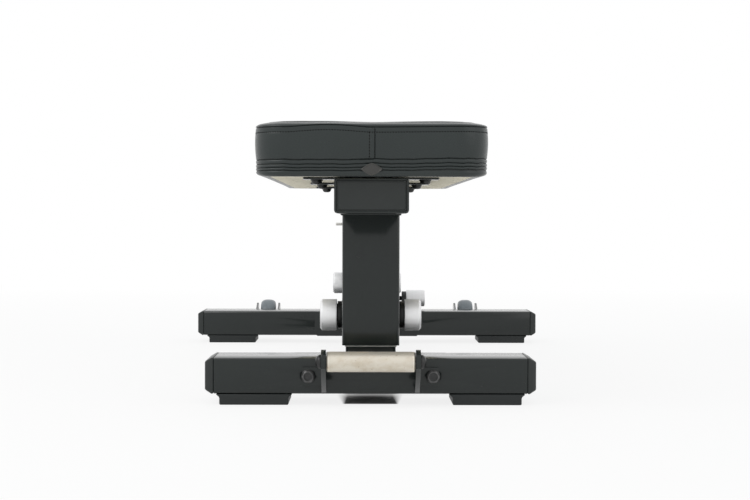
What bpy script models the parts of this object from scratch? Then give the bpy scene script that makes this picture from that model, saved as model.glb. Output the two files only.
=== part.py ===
"""A flat weight bench on two telescoping posts.

Two cross tubes stand on pads and are joined by a low beam. An inner upright rises from each of them, and
the upper frame slides on the uprights with two sleeves, which four pull pins lock. A carry grip turns in
front of the front foot, and two wheels turn behind the rear one. Metres, +Z up, +Y to the rear, +X to the
right of someone who looks at the front end. The origin is on the floor below the middle of the bench.
"""

import math

import bmesh
import bpy
from mathutils import Euler, Matrix, Vector

# Clearances
SEAT_GAP = 0.0003
BOLT_GAP = 0.0003
PIN_GAP = 0.0005
SLIDE_GAP = 0.0003
CUT_OVER = 0.002
SOFT_EDGE = 0.0012

# Feet
FRONT_FOOT_WIDE = 0.461
REAR_FOOT_WIDE = 0.703
FOOT_DEEP = 0.100
FOOT_HIGH = 0.050
FOOT_WALL = 0.003
FOOT_CORNER = 0.004
FRONT_POST_Y = -0.565
POST_SPACING = 1.175

# End caps of the feet
CAP_THICK = 0.0124
CAP_RIM = 0.003
CAP_DRAWN_IN = 0.0053
CAP_PLUG_LONG = 0.014

# Foot pads
FOOT_PAD_LONG = 0.096
FOOT_PAD_HIGH = 0.015
FOOT_PAD_FLARE = 0.0055
FOOT_PAD_FLARE_HIGH = 0.0045
FRONT_FOOT_PAD_X = 0.162
REAR_FOOT_PAD_X = 0.2795
PAD_SCREW_X = 0.030
PAD_SCREW_RADIUS = 0.0025
PAD_SCREW_RECESS_RADIUS = 0.0054
PAD_SCREW_RECESS = 0.007

# Lower beam and its bolted end plates
BEAM_WIDE = 0.070
BEAM_HIGH = 0.050
BEAM_WALL = 0.003
BEAM_CORNER = 0.004
JOINT_PLATE_WIDE = 0.218
JOINT_PLATE_HIGH = 0.0506
JOINT_PLATE_DROP = 0.001
JOINT_PLATE_THICK = 0.005
JOINT_PLATE_CHAMFER = 0.006
JOINT_BOLT_X = 0.050
JOINT_VENT_RADIUS = 0.008

# Hex flange bolts of the joints and the grip brackets
BOLT_RADIUS = 0.005
BOLT_ACROSS_FLATS = 0.015
BOLT_HEAD_HIGH = 0.007
BOLT_FLANGE_RADIUS = 0.0097
BOLT_FLANGE_THICK = 0.0016
BOLT_LONG = 0.022
NUT_ACROSS_FLATS = 0.017
NUT_HIGH = 0.008

# Inner uprights and the rows of pin holes in them
UPRIGHT_WIDE = 0.070
UPRIGHT_WALL = 0.003
UPRIGHT_CORNER = 0.004
HOLE_COUNT = 5
HOLE_PITCH = 0.025

# Sleeves
SLEEVE_WIDE = 0.080
SLEEVE_WALL = 0.003
SLEEVE_CORNER = 0.004
SLEEVE_TOP_PLATE = 0.003
SLEEVE_LONG = 0.1834
SLEEVE_ABOVE_FOOT = 0.0167
LINER_LIP = 0.0017
LINER_LIP_INSET = 0.0015
LINER_LONG = 0.030

# Spine tube
SPINE_WIDE = 0.100
SPINE_HIGH = 0.047
SPINE_WALL = 0.003
SPINE_CORNER = 0.004
SPINE_FRONT_OVERHANG = 0.140
SPINE_REAR_OVERHANG = 0.065
SPINE_CAP_INSET = 0.0005
SPINE_CAP_THICK = 0.010

# Cross plates and the fasteners of the pad
CROSS_PLATE_WIDE = 0.190
CROSS_PLATE_DEEP = 0.045
CROSS_PLATE_THICK = 0.003
CROSS_PLATE_CORNER = 0.006
CROSS_PLATE_FIRST = 0.142
CROSS_PLATE_SPACING = 0.365
PAD_BOLT_X = 0.076
PAD_BOLT_RADIUS = 0.004
PAD_BOLT_HOLE_DEEP = 0.011

# Board and cushion
PAD_WIDE = 0.310
PAD_LONG = 1.060
PAD_THICK = 0.074
PAD_FRONT_OVERHANG = 0.025
PAD_CORNER = 0.045
PAD_SIDE_PULL = 0.0020
PAD_END_PULL = 0.0010
PAD_CROWN = 0.0016
PAD_CENTRE_DIP = 0.0011
PAD_TUCK = 0.0023
BOARD_INSET = 0.015
BOARD_THICK = 0.015

# Cushion section: how far in each ring lies and how high it is above the underside
PAD_FOOT_RINGS = ((0.0058, 0.0), (0.0028, 0.0012), (0.0019, 0.0045))
PAD_CHANNEL_HEIGHTS = (0.0081, 0.0118, 0.0164, 0.0224)
PAD_CHANNEL_DEPTH = 0.0011
PAD_CHANNEL_BASE = 0.0016
PAD_WALL_RINGS = ((0.0006, 0.028), (0.0, 0.046), (0.0003, 0.060), (0.0016, 0.066))
PAD_EDGE_RADIUS = 0.0085
PAD_EDGE_STEPS = 3
PAD_TOP_INSETS = (0.030, 0.065, 0.105, 0.138)
PAD_LEAST_RADIUS = 0.004

# Where the cushion's sides have points between their corners, as shares of the side
SIDE_SHARES = (0.08, 0.29, 0.5, 0.71, 0.92)
END_SHARES = (0.15, 0.5, 0.85)

# Badge plate
BADGE_WIDE = 0.028
BADGE_HIGH = 0.017
BADGE_THICK = 0.0012
BADGE_ABOVE_UNDERSIDE = 0.0098

# Pull pins: barrel welded to the sleeve, pin, spring and knob
PIN_ABOVE_SLEEVE = 0.0407
PIN_TRAVEL = 0.0065
PIN_RADIUS = 0.008
PIN_STEM_RADIUS = 0.004
PIN_BODY_LONG = 0.0115
PIN_CHAMFER = 0.001
BOSS_RADIUS = 0.01935
BOSS_LONG = 0.007
BARREL_NECK_RADIUS = 0.012
BARREL_NECK_LONG = 0.0127
BARREL_END_WALL = 0.0025
KNOB_RADIUS = 0.022
KNOB_LONG = 0.0235
KNOB_CHAMFER = 0.003
KNOB_SKIRT_WALL = 0.0023
KNOB_SOCKET_RADIUS = 0.0127

# Clamp screw on the right of the rear sleeve
CLAMP_ABOVE_SLEEVE = 0.0085
CLAMP_STUD_RADIUS = 0.005
CLAMP_NUT_RADIUS = 0.008
CLAMP_NUT_LONG = 0.010
CLAMP_COLLAR_X = 0.073
CLAMP_COLLAR_RADIUS = 0.0146
CLAMP_COLLAR_LONG = 0.009
CLAMP_KNOB_RADIUS = 0.017
CLAMP_KNOB_LONG = 0.039
CLAMP_KNOB_CHAMFER = 0.0015
CLAMP_SOCKET_DEEP = 0.016

# Peg on the left of the rear sleeve
PEG_RADIUS = 0.003
PEG_REACH = 0.026
PEG_BELOW_SLEEVE_TOP = 0.019

# Carry grip
GRIP_RADIUS = 0.014
GRIP_LONG = 0.121
GRIP_ABOVE_FOOT_MIDDLE = 0.023
GRIP_TO_FOOT = 0.024
GRIP_CHAMFER = 0.0015
GRIP_BORE_DEEP = 0.022
GRIP_BOLT_RADIUS = 0.006
GRIP_BOLT_ACROSS_FLATS = 0.017
GRIP_BOLT_HEAD_HIGH = 0.007
GRIP_BOLT_REACH = 0.020
GRIP_END_GAP = 0.001
EAR_THICK = 0.0065
EAR_RADIUS = 0.0167
EAR_ABOVE_FOOT_BOTTOM = 0.002
EAR_ROUND_START = math.radians(60)
EAR_ROUND_SWEEP = math.radians(150)
BRACKET_FLANGE_LONG = 0.033
BRACKET_FLANGE_HIGH = 0.025
BRACKET_FLANGE_THICK = 0.005
BRACKET_BOLT_FROM_EAR = 0.0185

# Wheels
WHEEL_X = 0.212
WHEEL_Z = 0.051
WHEEL_RADIUS = 0.032
WHEEL_WIDE = 0.031
WHEEL_TO_WEB = 0.0017
TREAD_ROUND = 0.009
HUB_RADIUS = 0.016
BEARING_RADIUS = 0.011
BEARING_RECESS = 0.001
AXLE_RADIUS = 0.004
AXLE_HEAD_ACROSS_FLATS = 0.013
AXLE_HEAD_HIGH = 0.0053
AXLE_NUT_HIGH = 0.0065
AXLE_END = 0.001
SPACER_RADIUS = 0.0065
WHEEL_EAR_THICK = 0.004
WHEEL_EAR_INSIDE = 0.021
WHEEL_EAR_RADIUS = 0.025
WHEEL_WEB_THICK = 0.004
WHEEL_WEB_BELOW_FOOT_TOP = 0.001

# Fineness of round shapes
CORNER_STEPS = 2
SMALL_SEGMENTS = 12
ROUND_SEGMENTS = 20
FINE_SEGMENTS = 24
PAD_CORNER_STEPS = 5
TREAD_STEPS = 3
EAR_STEPS = 8
WELD_DISTANCE = 1e-6
TURN_WELD_DISTANCE = 1e-5
SHARP_ANGLE = math.radians(35)

# Places worked out from the sizes
REAR_POST_Y = FRONT_POST_Y + POST_SPACING
FOOT_BOTTOM_Z = FOOT_PAD_HIGH + SEAT_GAP
FOOT_MIDDLE_Z = FOOT_BOTTOM_Z + FOOT_HIGH / 2
FOOT_TOP_Z = FOOT_BOTTOM_Z + FOOT_HIGH
SLEEVE_BOTTOM_Z = FOOT_TOP_Z + SLEEVE_ABOVE_FOOT
SLEEVE_TOP_Z = SLEEVE_BOTTOM_Z + SLEEVE_LONG
SPINE_BOTTOM_Z = SLEEVE_TOP_Z + SEAT_GAP
SPINE_TOP_Z = SPINE_BOTTOM_Z + SPINE_HIGH
CROSS_PLATE_BOTTOM_Z = SPINE_TOP_Z + SEAT_GAP
CROSS_PLATE_TOP_Z = CROSS_PLATE_BOTTOM_Z + CROSS_PLATE_THICK
BOARD_BOTTOM_Z = CROSS_PLATE_TOP_Z + SEAT_GAP
BOARD_TOP_Z = BOARD_BOTTOM_Z + BOARD_THICK
PAD_BOTTOM_Z = BOARD_BOTTOM_Z - PAD_TUCK
PIN_Z = SLEEVE_BOTTOM_Z + PIN_ABOVE_SLEEVE
SPINE_FRONT_Y = FRONT_POST_Y - SPINE_FRONT_OVERHANG
SPINE_REAR_Y = REAR_POST_Y + SPINE_REAR_OVERHANG
PAD_FRONT_Y = SPINE_FRONT_Y - PAD_FRONT_OVERHANG
PAD_MIDDLE_Y = PAD_FRONT_Y + PAD_LONG / 2
CROSS_PLATE_YS = [PAD_FRONT_Y + CROSS_PLATE_FIRST + CROSS_PLATE_SPACING * n for n in range(3)]
GRIP_Y = FRONT_POST_Y - FOOT_DEEP / 2 - GRIP_TO_FOOT - GRIP_RADIUS
GRIP_Z = FOOT_MIDDLE_Z + GRIP_ABOVE_FOOT_MIDDLE
WHEEL_WEB_Y = REAR_POST_Y + FOOT_DEEP / 2 + SEAT_GAP
WHEEL_Y = WHEEL_WEB_Y + WHEEL_WEB_THICK + WHEEL_TO_WEB + WHEEL_RADIUS
BARREL_X = SLEEVE_WIDE / 2 + SEAT_GAP
EAR_X = GRIP_LONG / 2 + GRIP_END_GAP
BRACKET_BOLT_X = EAR_X + EAR_THICK + BRACKET_BOLT_FROM_EAR
PIN_FIRST = BARREL_X - UPRIGHT_WIDE / 2 - SEAT_GAP
CLAMP_Z = SLEEVE_BOTTOM_Z + CLAMP_ABOVE_SLEEVE

SIDES = (("left", -1), ("right", 1))
POSTS = (("front", FRONT_POST_Y), ("rear", REAR_POST_Y))

# Turns that lay a piece's own Z along an axis of the bench
FLAT = Euler((0, 0, 0))
ALONG_RIGHT = Euler((math.pi / 2, 0, math.pi / 2))
ALONG_LEFT = Euler((math.pi / 2, 0, -math.pi / 2))
ALONG_FRONT = Euler((math.pi / 2, 0, 0))
ALONG_REAR = Euler((-math.pi / 2, 0, 0))
OUTWARD = {-1: ALONG_LEFT, 1: ALONG_RIGHT}

# Finishes: colour, roughness, metallic
POWDER_COAT = ((0.045, 0.052, 0.050), 0.42, 0.0)
BLACK_PLASTIC = ((0.040, 0.045, 0.044), 0.50, 0.0)
BLACK_RUBBER = ((0.030, 0.033, 0.033), 0.70, 0.0)
BLACK_ZINC = ((0.050, 0.052, 0.052), 0.35, 0.8)
ALUMINIUM = ((0.70, 0.70, 0.70), 0.32, 1.0)
BRIGHT_STEEL = ((0.62, 0.60, 0.56), 0.30, 1.0)
NYLON = ((0.45, 0.46, 0.44), 0.45, 0.0)
WHEEL_RUBBER = ((0.28, 0.31, 0.33), 0.55, 0.0)
PLYWOOD = ((0.62, 0.54, 0.40), 0.65, 0.0)
LEATHER = ((0.050, 0.056, 0.054), 0.48, 0.0)


def collection(name):
    """Makes a collection in the scene."""
    made = bpy.data.collections.new(name)
    bpy.context.scene.collection.children.link(made)
    return made


def material(name, finish):
    """Makes one piece's own material."""
    colour, roughness, metallic = finish
    made = bpy.data.materials.new(name)
    made.use_nodes = True
    shader = made.node_tree.nodes["Principled BSDF"]
    shader.inputs["Base Color"].default_value = (*colour, 1.0)
    shader.inputs["Roughness"].default_value = roughness
    shader.inputs["Metallic"].default_value = metallic
    return made


def place(obj, location, turn=FLAT, parent=None):
    """Puts a piece at a place of the bench, under a parent empty if there is one."""
    origin = parent.location if parent else Vector()
    obj.parent = parent
    obj.location = Vector(location) - origin
    obj.rotation_euler = turn
    return obj


def piece(name, mesh, finish):
    """Makes a visible piece with its own material."""
    obj = bpy.data.objects.new(name, mesh)
    PARTS.objects.link(obj)
    mesh.materials.append(material(name, finish))
    return obj


def cutter(name, mesh):
    """Makes a hidden shape that a Boolean uses."""
    obj = bpy.data.objects.new(name, mesh)
    CUTTERS.objects.link(obj)
    obj.hide_render = True
    obj.display_type = "WIRE"
    return obj


def combine(obj, others, operation):
    """Adds one Boolean modifier for each other shape."""
    for other in others:
        modifier = obj.modifiers.new(operation.lower(), "BOOLEAN")
        modifier.operation = operation
        modifier.solver = "EXACT"
        modifier.object = other
    return obj


def soften(obj):
    """Gives a moulded piece soft edges."""
    bevel = obj.modifiers.new("soft_edges", "BEVEL")
    bevel.width = SOFT_EDGE
    bevel.segments = 1
    bevel.limit_method = "ANGLE"


def evaluated_mesh(obj, name):
    """Turns an object, with its modifiers, into a welded plain mesh in its own axes."""
    bpy.context.view_layer.update()
    graph = bpy.context.evaluated_depsgraph_get()
    mesh = bpy.data.meshes.new_from_object(obj.evaluated_get(graph))
    mesh.name = name
    bm = bmesh.new()
    bm.from_mesh(mesh)
    bmesh.ops.remove_doubles(bm, verts=bm.verts, dist=WELD_DISTANCE)
    bmesh.ops.recalc_face_normals(bm, faces=bm.faces)
    bm.to_mesh(mesh)
    bm.free()
    mesh.materials.clear()
    return mesh


def block_mesh(name, size):
    """A box about its own middle."""
    bm = bmesh.new()
    bmesh.ops.create_cube(bm, size=1.0, matrix=Matrix.Diagonal((*size, 1.0)))
    mesh = bpy.data.meshes.new(name)
    bm.to_mesh(mesh)
    bm.free()
    return mesh


def rod_mesh(name, radius, length, segments=SMALL_SEGMENTS):
    """A round rod about its own middle, along its own Z."""
    bm = bmesh.new()
    bmesh.ops.create_cone(
        bm, cap_ends=True, segments=segments, radius1=radius, radius2=radius, depth=length
    )
    mesh = bpy.data.meshes.new(name)
    bm.to_mesh(mesh)
    bm.free()
    smooth(mesh)
    return mesh


def hex_mesh(name, across_flats, height):
    """A hexagonal bar about its own middle, along its own Z."""
    corner_radius = across_flats / 2 / math.cos(math.pi / 6)
    bm = bmesh.new()
    bmesh.ops.create_cone(
        bm, cap_ends=True, segments=6, radius1=corner_radius, radius2=corner_radius, depth=height
    )
    mesh = bpy.data.meshes.new(name)
    bm.to_mesh(mesh)
    bm.free()
    return mesh


def smooth(mesh):
    """Shades a round mesh smooth, with its sharp edges kept."""
    mesh.shade_smooth()
    mesh.set_sharp_from_angle(angle=SHARP_ANGLE)


def turned_mesh(name, profile, segments=ROUND_SEGMENTS, ring=False):
    """Turns (radius, height) points, which run down the outer side, about their own Z."""
    last = len(profile) - 1
    edges = [(n, n + 1) for n in range(last)]
    if ring:
        edges.append((last, 0))
    line = bpy.data.meshes.new(name + "_profile")
    line.from_pydata([(radius, 0, height) for radius, height in profile], edges, [])
    obj = cutter(name + "_turning", line)
    screw = obj.modifiers.new("turn", "SCREW")
    screw.steps = segments
    screw.render_steps = segments
    screw.use_merge_vertices = True
    screw.merge_threshold = TURN_WELD_DISTANCE
    mesh = evaluated_mesh(obj, name)
    bpy.data.objects.remove(obj)
    smooth(mesh)
    return mesh


def rounded_outline(wide, high, radius, steps=CORNER_STEPS):
    """Points of a rounded rectangle, anticlockwise."""
    points = []
    for right, up, start in ((1, -1, -90), (1, 1, 0), (-1, 1, 90), (-1, -1, 180)):
        for step in range(steps + 1):
            angle = math.radians(start + 90 * step / steps)
            x = right * (wide / 2 - radius) + radius * math.cos(angle)
            y = up * (high / 2 - radius) + radius * math.sin(angle)
            points.append((x, y))
    return points


def circle_outline(x, y, radius, steps=SMALL_SEGMENTS):
    """Points of a circle."""
    turns = [2 * math.pi * step / steps for step in range(steps)]
    return [(x + radius * math.cos(turn), y + radius * math.sin(turn)) for turn in turns]


def outline_mesh(name, outlines, thickness):
    """Fills flat outlines, the inner ones as holes, and gives them a thickness along their own Z."""
    curve = bpy.data.curves.new(name, "CURVE")
    curve.dimensions = "2D"
    curve.fill_mode = "BOTH"
    curve.extrude = thickness / 2
    for outline in outlines:
        spline = curve.splines.new("POLY")
        spline.points.add(len(outline) - 1)
        for point, (x, y) in zip(spline.points, outline):
            point.co = (x, y, 0, 1)
        spline.use_cyclic_u = True
    obj = cutter(name + "_outline", curve)
    mesh = evaluated_mesh(obj, name)
    bpy.data.objects.remove(obj)
    return mesh


def tube_mesh(name, wide, high, wall, corner, length):
    """A rectangular tube with rounded corners, along its own Z."""
    outer = rounded_outline(wide, high, corner)
    inner = rounded_outline(wide - 2 * wall, high - 2 * wall, max(corner - wall, corner / 4))
    return outline_mesh(name, [outer, inner], length)


def joined_mesh(name, shapes):
    """Joins overlapping meshes, each given with the height of its middle, into one solid."""
    made = []
    for mesh, height in shapes:
        shape = cutter(name + "_shape", mesh)
        shape.location.z = height
        made.append(shape)
    combine(made[0], made[1:], "UNION")
    mesh = evaluated_mesh(made[0], name)
    mesh.transform(Matrix.Translation(made[0].location))
    for shape in made:
        bpy.data.objects.remove(shape)
    smooth(mesh)
    return mesh


def flange_bolt_mesh(gripped):
    """A hex flange bolt with its nut screwed up to what it grips: its seat is at height 0."""
    overlap = BOLT_FLANGE_THICK / 2
    shank = rod_mesh("shank", BOLT_RADIUS, BOLT_LONG + overlap)
    flange = rod_mesh("flange", BOLT_FLANGE_RADIUS, BOLT_FLANGE_THICK, ROUND_SEGMENTS)
    head = hex_mesh("head", BOLT_ACROSS_FLATS, BOLT_HEAD_HIGH)
    nut = hex_mesh("nut", NUT_ACROSS_FLATS, NUT_HIGH)
    shapes = [
        (shank, (overlap - BOLT_LONG) / 2),
        (flange, BOLT_FLANGE_THICK / 2),
        (head, overlap + BOLT_HEAD_HIGH / 2),
        (nut, -gripped - NUT_HIGH / 2),
    ]
    return joined_mesh("flange_bolt", shapes)


def fastener(name, mesh, finish, location, turn, parent=None):
    """Puts one copy of a fastener on the bench."""
    return place(piece(name, mesh.copy(), finish), location, turn, parent)


def foot(post, y, wide):
    """A cross tube that stands on two pads, with the holes for its screws and bolts."""
    length = wide - 2 * CAP_THICK - 2 * SEAT_GAP
    mesh = tube_mesh(post + "_foot", FOOT_DEEP, FOOT_HIGH, FOOT_WALL, FOOT_CORNER, length)
    tube = place(piece(post + "_foot", mesh, POWDER_COAT), (0, y, FOOT_MIDDLE_Z), ALONG_RIGHT)
    pad_x = FRONT_FOOT_PAD_X if post == "front" else REAR_FOOT_PAD_X
    drill = rod_mesh(post + "_pad_drill", PAD_SCREW_RADIUS + BOLT_GAP, FOOT_WALL + 2 * CUT_OVER)
    for x in screw_xs(pad_x):
        hole = cutter(post + "_pad_drill", drill)
        place(hole, (x, y, FOOT_BOTTOM_Z + FOOT_WALL / 2))
        combine(tube, [hole], "DIFFERENCE")
    return tube


def screw_xs(pad_x):
    """Where the pad screws of one foot are, along it."""
    return [side * pad_x + step * PAD_SCREW_X for _, side in SIDES for step in (-1, 1)]


def drill_foot(tube, post, face, bolt_x):
    """A pair of bolt holes in a foot's front (-1) or rear (1) wall."""
    y = (FRONT_POST_Y if post == "front" else REAR_POST_Y) + face * (FOOT_DEEP - FOOT_WALL) / 2
    drill = rod_mesh(post + "_bolt_drill", BOLT_RADIUS + BOLT_GAP, FOOT_WALL + 2 * CUT_OVER)
    for _, side in SIDES:
        hole = cutter(post + "_bolt_drill", drill)
        place(hole, (side * bolt_x, y, FOOT_MIDDLE_Z), ALONG_FRONT)
        combine(tube, [hole], "DIFFERENCE")


def end_cap(post, y, wide, side_name, side):
    """A tapered plastic cap with a plug that fills the end of a foot tube."""
    name = f"{post}_foot_cap_{side_name}"
    bm = bmesh.new()
    bmesh.ops.create_cube(bm, size=1.0, matrix=Matrix.Diagonal((FOOT_DEEP, FOOT_HIGH, CAP_THICK, 1.0)))
    rim_edges = [edge for edge in bm.edges if abs(edge.verts[0].co.z - edge.verts[1].co.z) > CAP_THICK / 2]
    bmesh.ops.subdivide_edges(bm, edges=rim_edges, cuts=1)
    for vertex in bm.verts:
        if vertex.co.z > CAP_THICK / 4:
            vertex.co.x -= math.copysign(CAP_DRAWN_IN, vertex.co.x)
            vertex.co.y -= math.copysign(CAP_DRAWN_IN, vertex.co.y)
        elif abs(vertex.co.z) < CAP_THICK / 4:
            vertex.co.z = CAP_RIM - CAP_THICK / 2
    mesh = bpy.data.meshes.new(name)
    bm.to_mesh(mesh)
    bm.free()
    cap = piece(name, mesh, BLACK_PLASTIC)
    soften(cap)
    place(cap, (side * (wide - CAP_THICK) / 2, y, FOOT_MIDDLE_Z), OUTWARD[side])
    slack = 2 * (FOOT_WALL + SEAT_GAP)
    outline = rounded_outline(FOOT_DEEP - slack, FOOT_HIGH - slack, FOOT_CORNER / 2)
    plug = cutter(name + "_plug", outline_mesh(name + "_plug", [outline], CAP_PLUG_LONG + CAP_RIM))
    plug_x = wide / 2 - CAP_THICK + (CAP_RIM - CAP_PLUG_LONG) / 2
    place(plug, (side * plug_x, y, FOOT_MIDDLE_Z), OUTWARD[side])
    return combine(cap, [plug], "UNION")


def foot_pad(post, y, pad_x, side_name, side):
    """A pad under a foot: its ends flare out to the tube, and it has recessed holes for its screws."""
    name = f"{post}_foot_pad_{side_name}"
    half = FOOT_PAD_LONG / 2
    flare_z = FOOT_PAD_HIGH - FOOT_PAD_FLARE_HIGH
    outline = [
        (-half, 0),
        (half, 0),
        (half, flare_z),
        (half + FOOT_PAD_FLARE, FOOT_PAD_HIGH),
        (-half - FOOT_PAD_FLARE, FOOT_PAD_HIGH),
        (-half, flare_z),
    ]
    pad = piece(name, outline_mesh(name, [outline], FOOT_DEEP), BLACK_RUBBER)
    place(pad, (side * pad_x, y, 0), ALONG_FRONT)
    soften(pad)
    hole_radius = PAD_SCREW_RADIUS + BOLT_GAP
    profile = [
        (0, FOOT_PAD_HIGH + CUT_OVER),
        (hole_radius, FOOT_PAD_HIGH + CUT_OVER),
        (hole_radius, PAD_SCREW_RECESS),
        (PAD_SCREW_RECESS_RADIUS, PAD_SCREW_RECESS),
        (PAD_SCREW_RECESS_RADIUS, -CUT_OVER),
        (0, -CUT_OVER),
    ]
    drill = turned_mesh(name + "_drill", profile, SMALL_SEGMENTS)
    for step in (-1, 1):
        hole = cutter(name + "_drill", drill)
        place(hole, (side * pad_x + step * PAD_SCREW_X, y, 0))
        combine(pad, [hole], "DIFFERENCE")
    return pad


def joint_plate(post, foot_y, towards):
    """An end plate of the lower beam, vented into it: towards is 1 where the beam lies behind its foot."""
    name = post + "_joint_plate"
    half_wide, half_high, cut = JOINT_PLATE_WIDE / 2, JOINT_PLATE_HIGH / 2, JOINT_PLATE_CHAMFER
    outline = [
        (half_wide - cut, -half_high),
        (half_wide, cut - half_high),
        (half_wide, half_high),
        (-half_wide, half_high),
        (-half_wide, cut - half_high),
        (cut - half_wide, -half_high),
    ]
    middle_z = FOOT_BOTTOM_Z - JOINT_PLATE_DROP + half_high
    bolt_up = FOOT_MIDDLE_Z - middle_z
    bore = BOLT_RADIUS + BOLT_GAP
    holes = [circle_outline(side * JOINT_BOLT_X, bolt_up, bore) for _, side in SIDES]
    holes.append(circle_outline(0, bolt_up, JOINT_VENT_RADIUS))
    plate = cutter(name, outline_mesh(name, [outline, *holes], JOINT_PLATE_THICK))
    y = foot_y + towards * (FOOT_DEEP / 2 + SEAT_GAP + JOINT_PLATE_THICK / 2)
    return place(plate, (0, y, middle_z), ALONG_FRONT)


def lower_beam():
    """The low tube that joins the feet, with a plate welded across each end."""
    length = POST_SPACING - FOOT_DEEP - JOINT_PLATE_THICK - 2 * SEAT_GAP
    mesh = tube_mesh("lower_beam", BEAM_WIDE, BEAM_HIGH, BEAM_WALL, BEAM_CORNER, length)
    beam = piece("lower_beam", mesh, POWDER_COAT)
    place(beam, (0, (FRONT_POST_Y + REAR_POST_Y) / 2, FOOT_MIDDLE_Z), ALONG_FRONT)
    plates = [joint_plate("front", FRONT_POST_Y, 1), joint_plate("rear", REAR_POST_Y, -1)]
    return combine(beam, plates, "UNION")


def joint_bolts():
    """The bolts that hold the beam's end plates to the feet."""
    bolt = flange_bolt_mesh(JOINT_PLATE_THICK + FOOT_WALL + 3 * SEAT_GAP)
    reach = FOOT_DEEP / 2 + JOINT_PLATE_THICK + 2 * SEAT_GAP
    for side_name, side in SIDES:
        x = side * JOINT_BOLT_X
        front, rear = FRONT_POST_Y + reach, REAR_POST_Y - reach
        name = "joint_bolt_front_" + side_name
        fastener(name, bolt, BLACK_ZINC, (x, front, FOOT_MIDDLE_Z), ALONG_REAR)
        name = "joint_bolt_rear_" + side_name
        fastener(name, bolt, BLACK_ZINC, (x, rear, FOOT_MIDDLE_Z), ALONG_FRONT)


def upright(post, y):
    """An inner post with a row of pin holes in each side, as tall as the sleeve's roof lets it be."""
    name = post + "_upright"
    bottom = FOOT_TOP_Z + SEAT_GAP
    top = SLEEVE_TOP_Z - SLEEVE_TOP_PLATE - SEAT_GAP
    mesh = tube_mesh(name, UPRIGHT_WIDE, UPRIGHT_WIDE, UPRIGHT_WALL, UPRIGHT_CORNER, top - bottom)
    tube = place(piece(name, mesh, POWDER_COAT), (0, y, (top + bottom) / 2))
    drill = rod_mesh(name + "_drill", PIN_RADIUS + PIN_GAP, UPRIGHT_WIDE + 2 * CUT_OVER)
    for step in range(HOLE_COUNT):
        hole = cutter(name + "_drill", drill)
        place(hole, (0, y, PIN_Z + step * HOLE_PITCH), ALONG_RIGHT)
        combine(tube, [hole], "DIFFERENCE")
    return tube


def sleeve(post, y, parent):
    """An outer post, open below and closed above, with a pin hole in each side."""
    name = post + "_sleeve"
    outline = rounded_outline(SLEEVE_WIDE, SLEEVE_WIDE, SLEEVE_CORNER)
    body = piece(name, outline_mesh(name, [outline], SLEEVE_LONG), POWDER_COAT)
    place(body, (0, y, SLEEVE_BOTTOM_Z + SLEEVE_LONG / 2), parent=parent)
    inside_wide = SLEEVE_WIDE - 2 * SLEEVE_WALL
    inside_long = SLEEVE_LONG - SLEEVE_TOP_PLATE + CUT_OVER
    inner = rounded_outline(inside_wide, inside_wide, SLEEVE_CORNER / 2)
    hollow = cutter(name + "_hollow", outline_mesh(name + "_hollow", [inner], inside_long))
    place(hollow, (0, y, SLEEVE_BOTTOM_Z - CUT_OVER + inside_long / 2))
    drill = rod_mesh(name + "_drill", PIN_RADIUS + PIN_GAP, SLEEVE_WIDE + 2 * CUT_OVER)
    hole = cutter(name + "_drill", drill)
    place(hole, (0, y, PIN_Z), ALONG_RIGHT)
    return combine(body, [hollow, hole], "DIFFERENCE")


def finish_rear_sleeve(body):
    """The weld nut and hole of the clamp screw, on the right, and the hole of the peg, on the left."""
    boss_long = CLAMP_NUT_LONG + SLEEVE_WALL / 2
    boss = cutter("clamp_nut", rod_mesh("clamp_nut", CLAMP_NUT_RADIUS, boss_long, ROUND_SEGMENTS))
    boss_x = SLEEVE_WIDE / 2 + CLAMP_NUT_LONG - boss_long / 2
    place(boss, (boss_x, REAR_POST_Y, CLAMP_Z), ALONG_RIGHT)
    combine(body, [boss], "UNION")
    clamp_long = SLEEVE_WALL + CLAMP_NUT_LONG + 2 * CUT_OVER
    clamp_x = (SLEEVE_WIDE - SLEEVE_WALL + CLAMP_NUT_LONG) / 2
    peg_long = SLEEVE_WALL + 2 * CUT_OVER
    peg_x = (SLEEVE_WALL - SLEEVE_WIDE) / 2
    peg_z = SLEEVE_TOP_Z - PEG_BELOW_SLEEVE_TOP
    holes = (
        ("clamp_drill", CLAMP_STUD_RADIUS + PIN_GAP, clamp_long, clamp_x, CLAMP_Z),
        ("peg_drill", PEG_RADIUS + BOLT_GAP, peg_long, peg_x, peg_z),
    )
    for name, radius, long, x, z in holes:
        hole = cutter(name, rod_mesh(name, radius, long))
        place(hole, (x, REAR_POST_Y, z), ALONG_RIGHT)
        combine(body, [hole], "DIFFERENCE")


def liner(post, y, parent):
    """A nylon guide inside the mouth of a sleeve, with a lip that shows below it."""
    name = post + "_liner"
    bore = UPRIGHT_WIDE + 2 * SLIDE_GAP
    skirt = SLEEVE_WIDE - 2 * SLEEVE_WALL - 2 * SEAT_GAP
    lip = SLEEVE_WIDE - 2 * LINER_LIP_INSET
    lip_z = SLEEVE_BOTTOM_Z - SEAT_GAP - LINER_LIP / 2
    corner = SLEEVE_CORNER / 2
    body = piece(name, outline_mesh(name, [rounded_outline(lip, lip, corner)], LINER_LIP), NYLON)
    place(body, (0, y, lip_z), parent=parent)
    skirt_long = LINER_LONG + LINER_LIP / 2
    skirt_outline = rounded_outline(skirt, skirt, corner)
    guide = cutter(name + "_skirt", outline_mesh(name + "_skirt", [skirt_outline], skirt_long))
    place(guide, (0, y, lip_z + skirt_long / 2))
    bore_outline = rounded_outline(bore, bore, UPRIGHT_CORNER)
    bore_long = 2 * (LINER_LONG + LINER_LIP + CUT_OVER)
    hollow = cutter(name + "_bore", outline_mesh(name + "_bore", [bore_outline], bore_long))
    place(hollow, (0, y, lip_z))
    combine(body, [guide], "UNION")
    return combine(body, [hollow], "DIFFERENCE")


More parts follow.
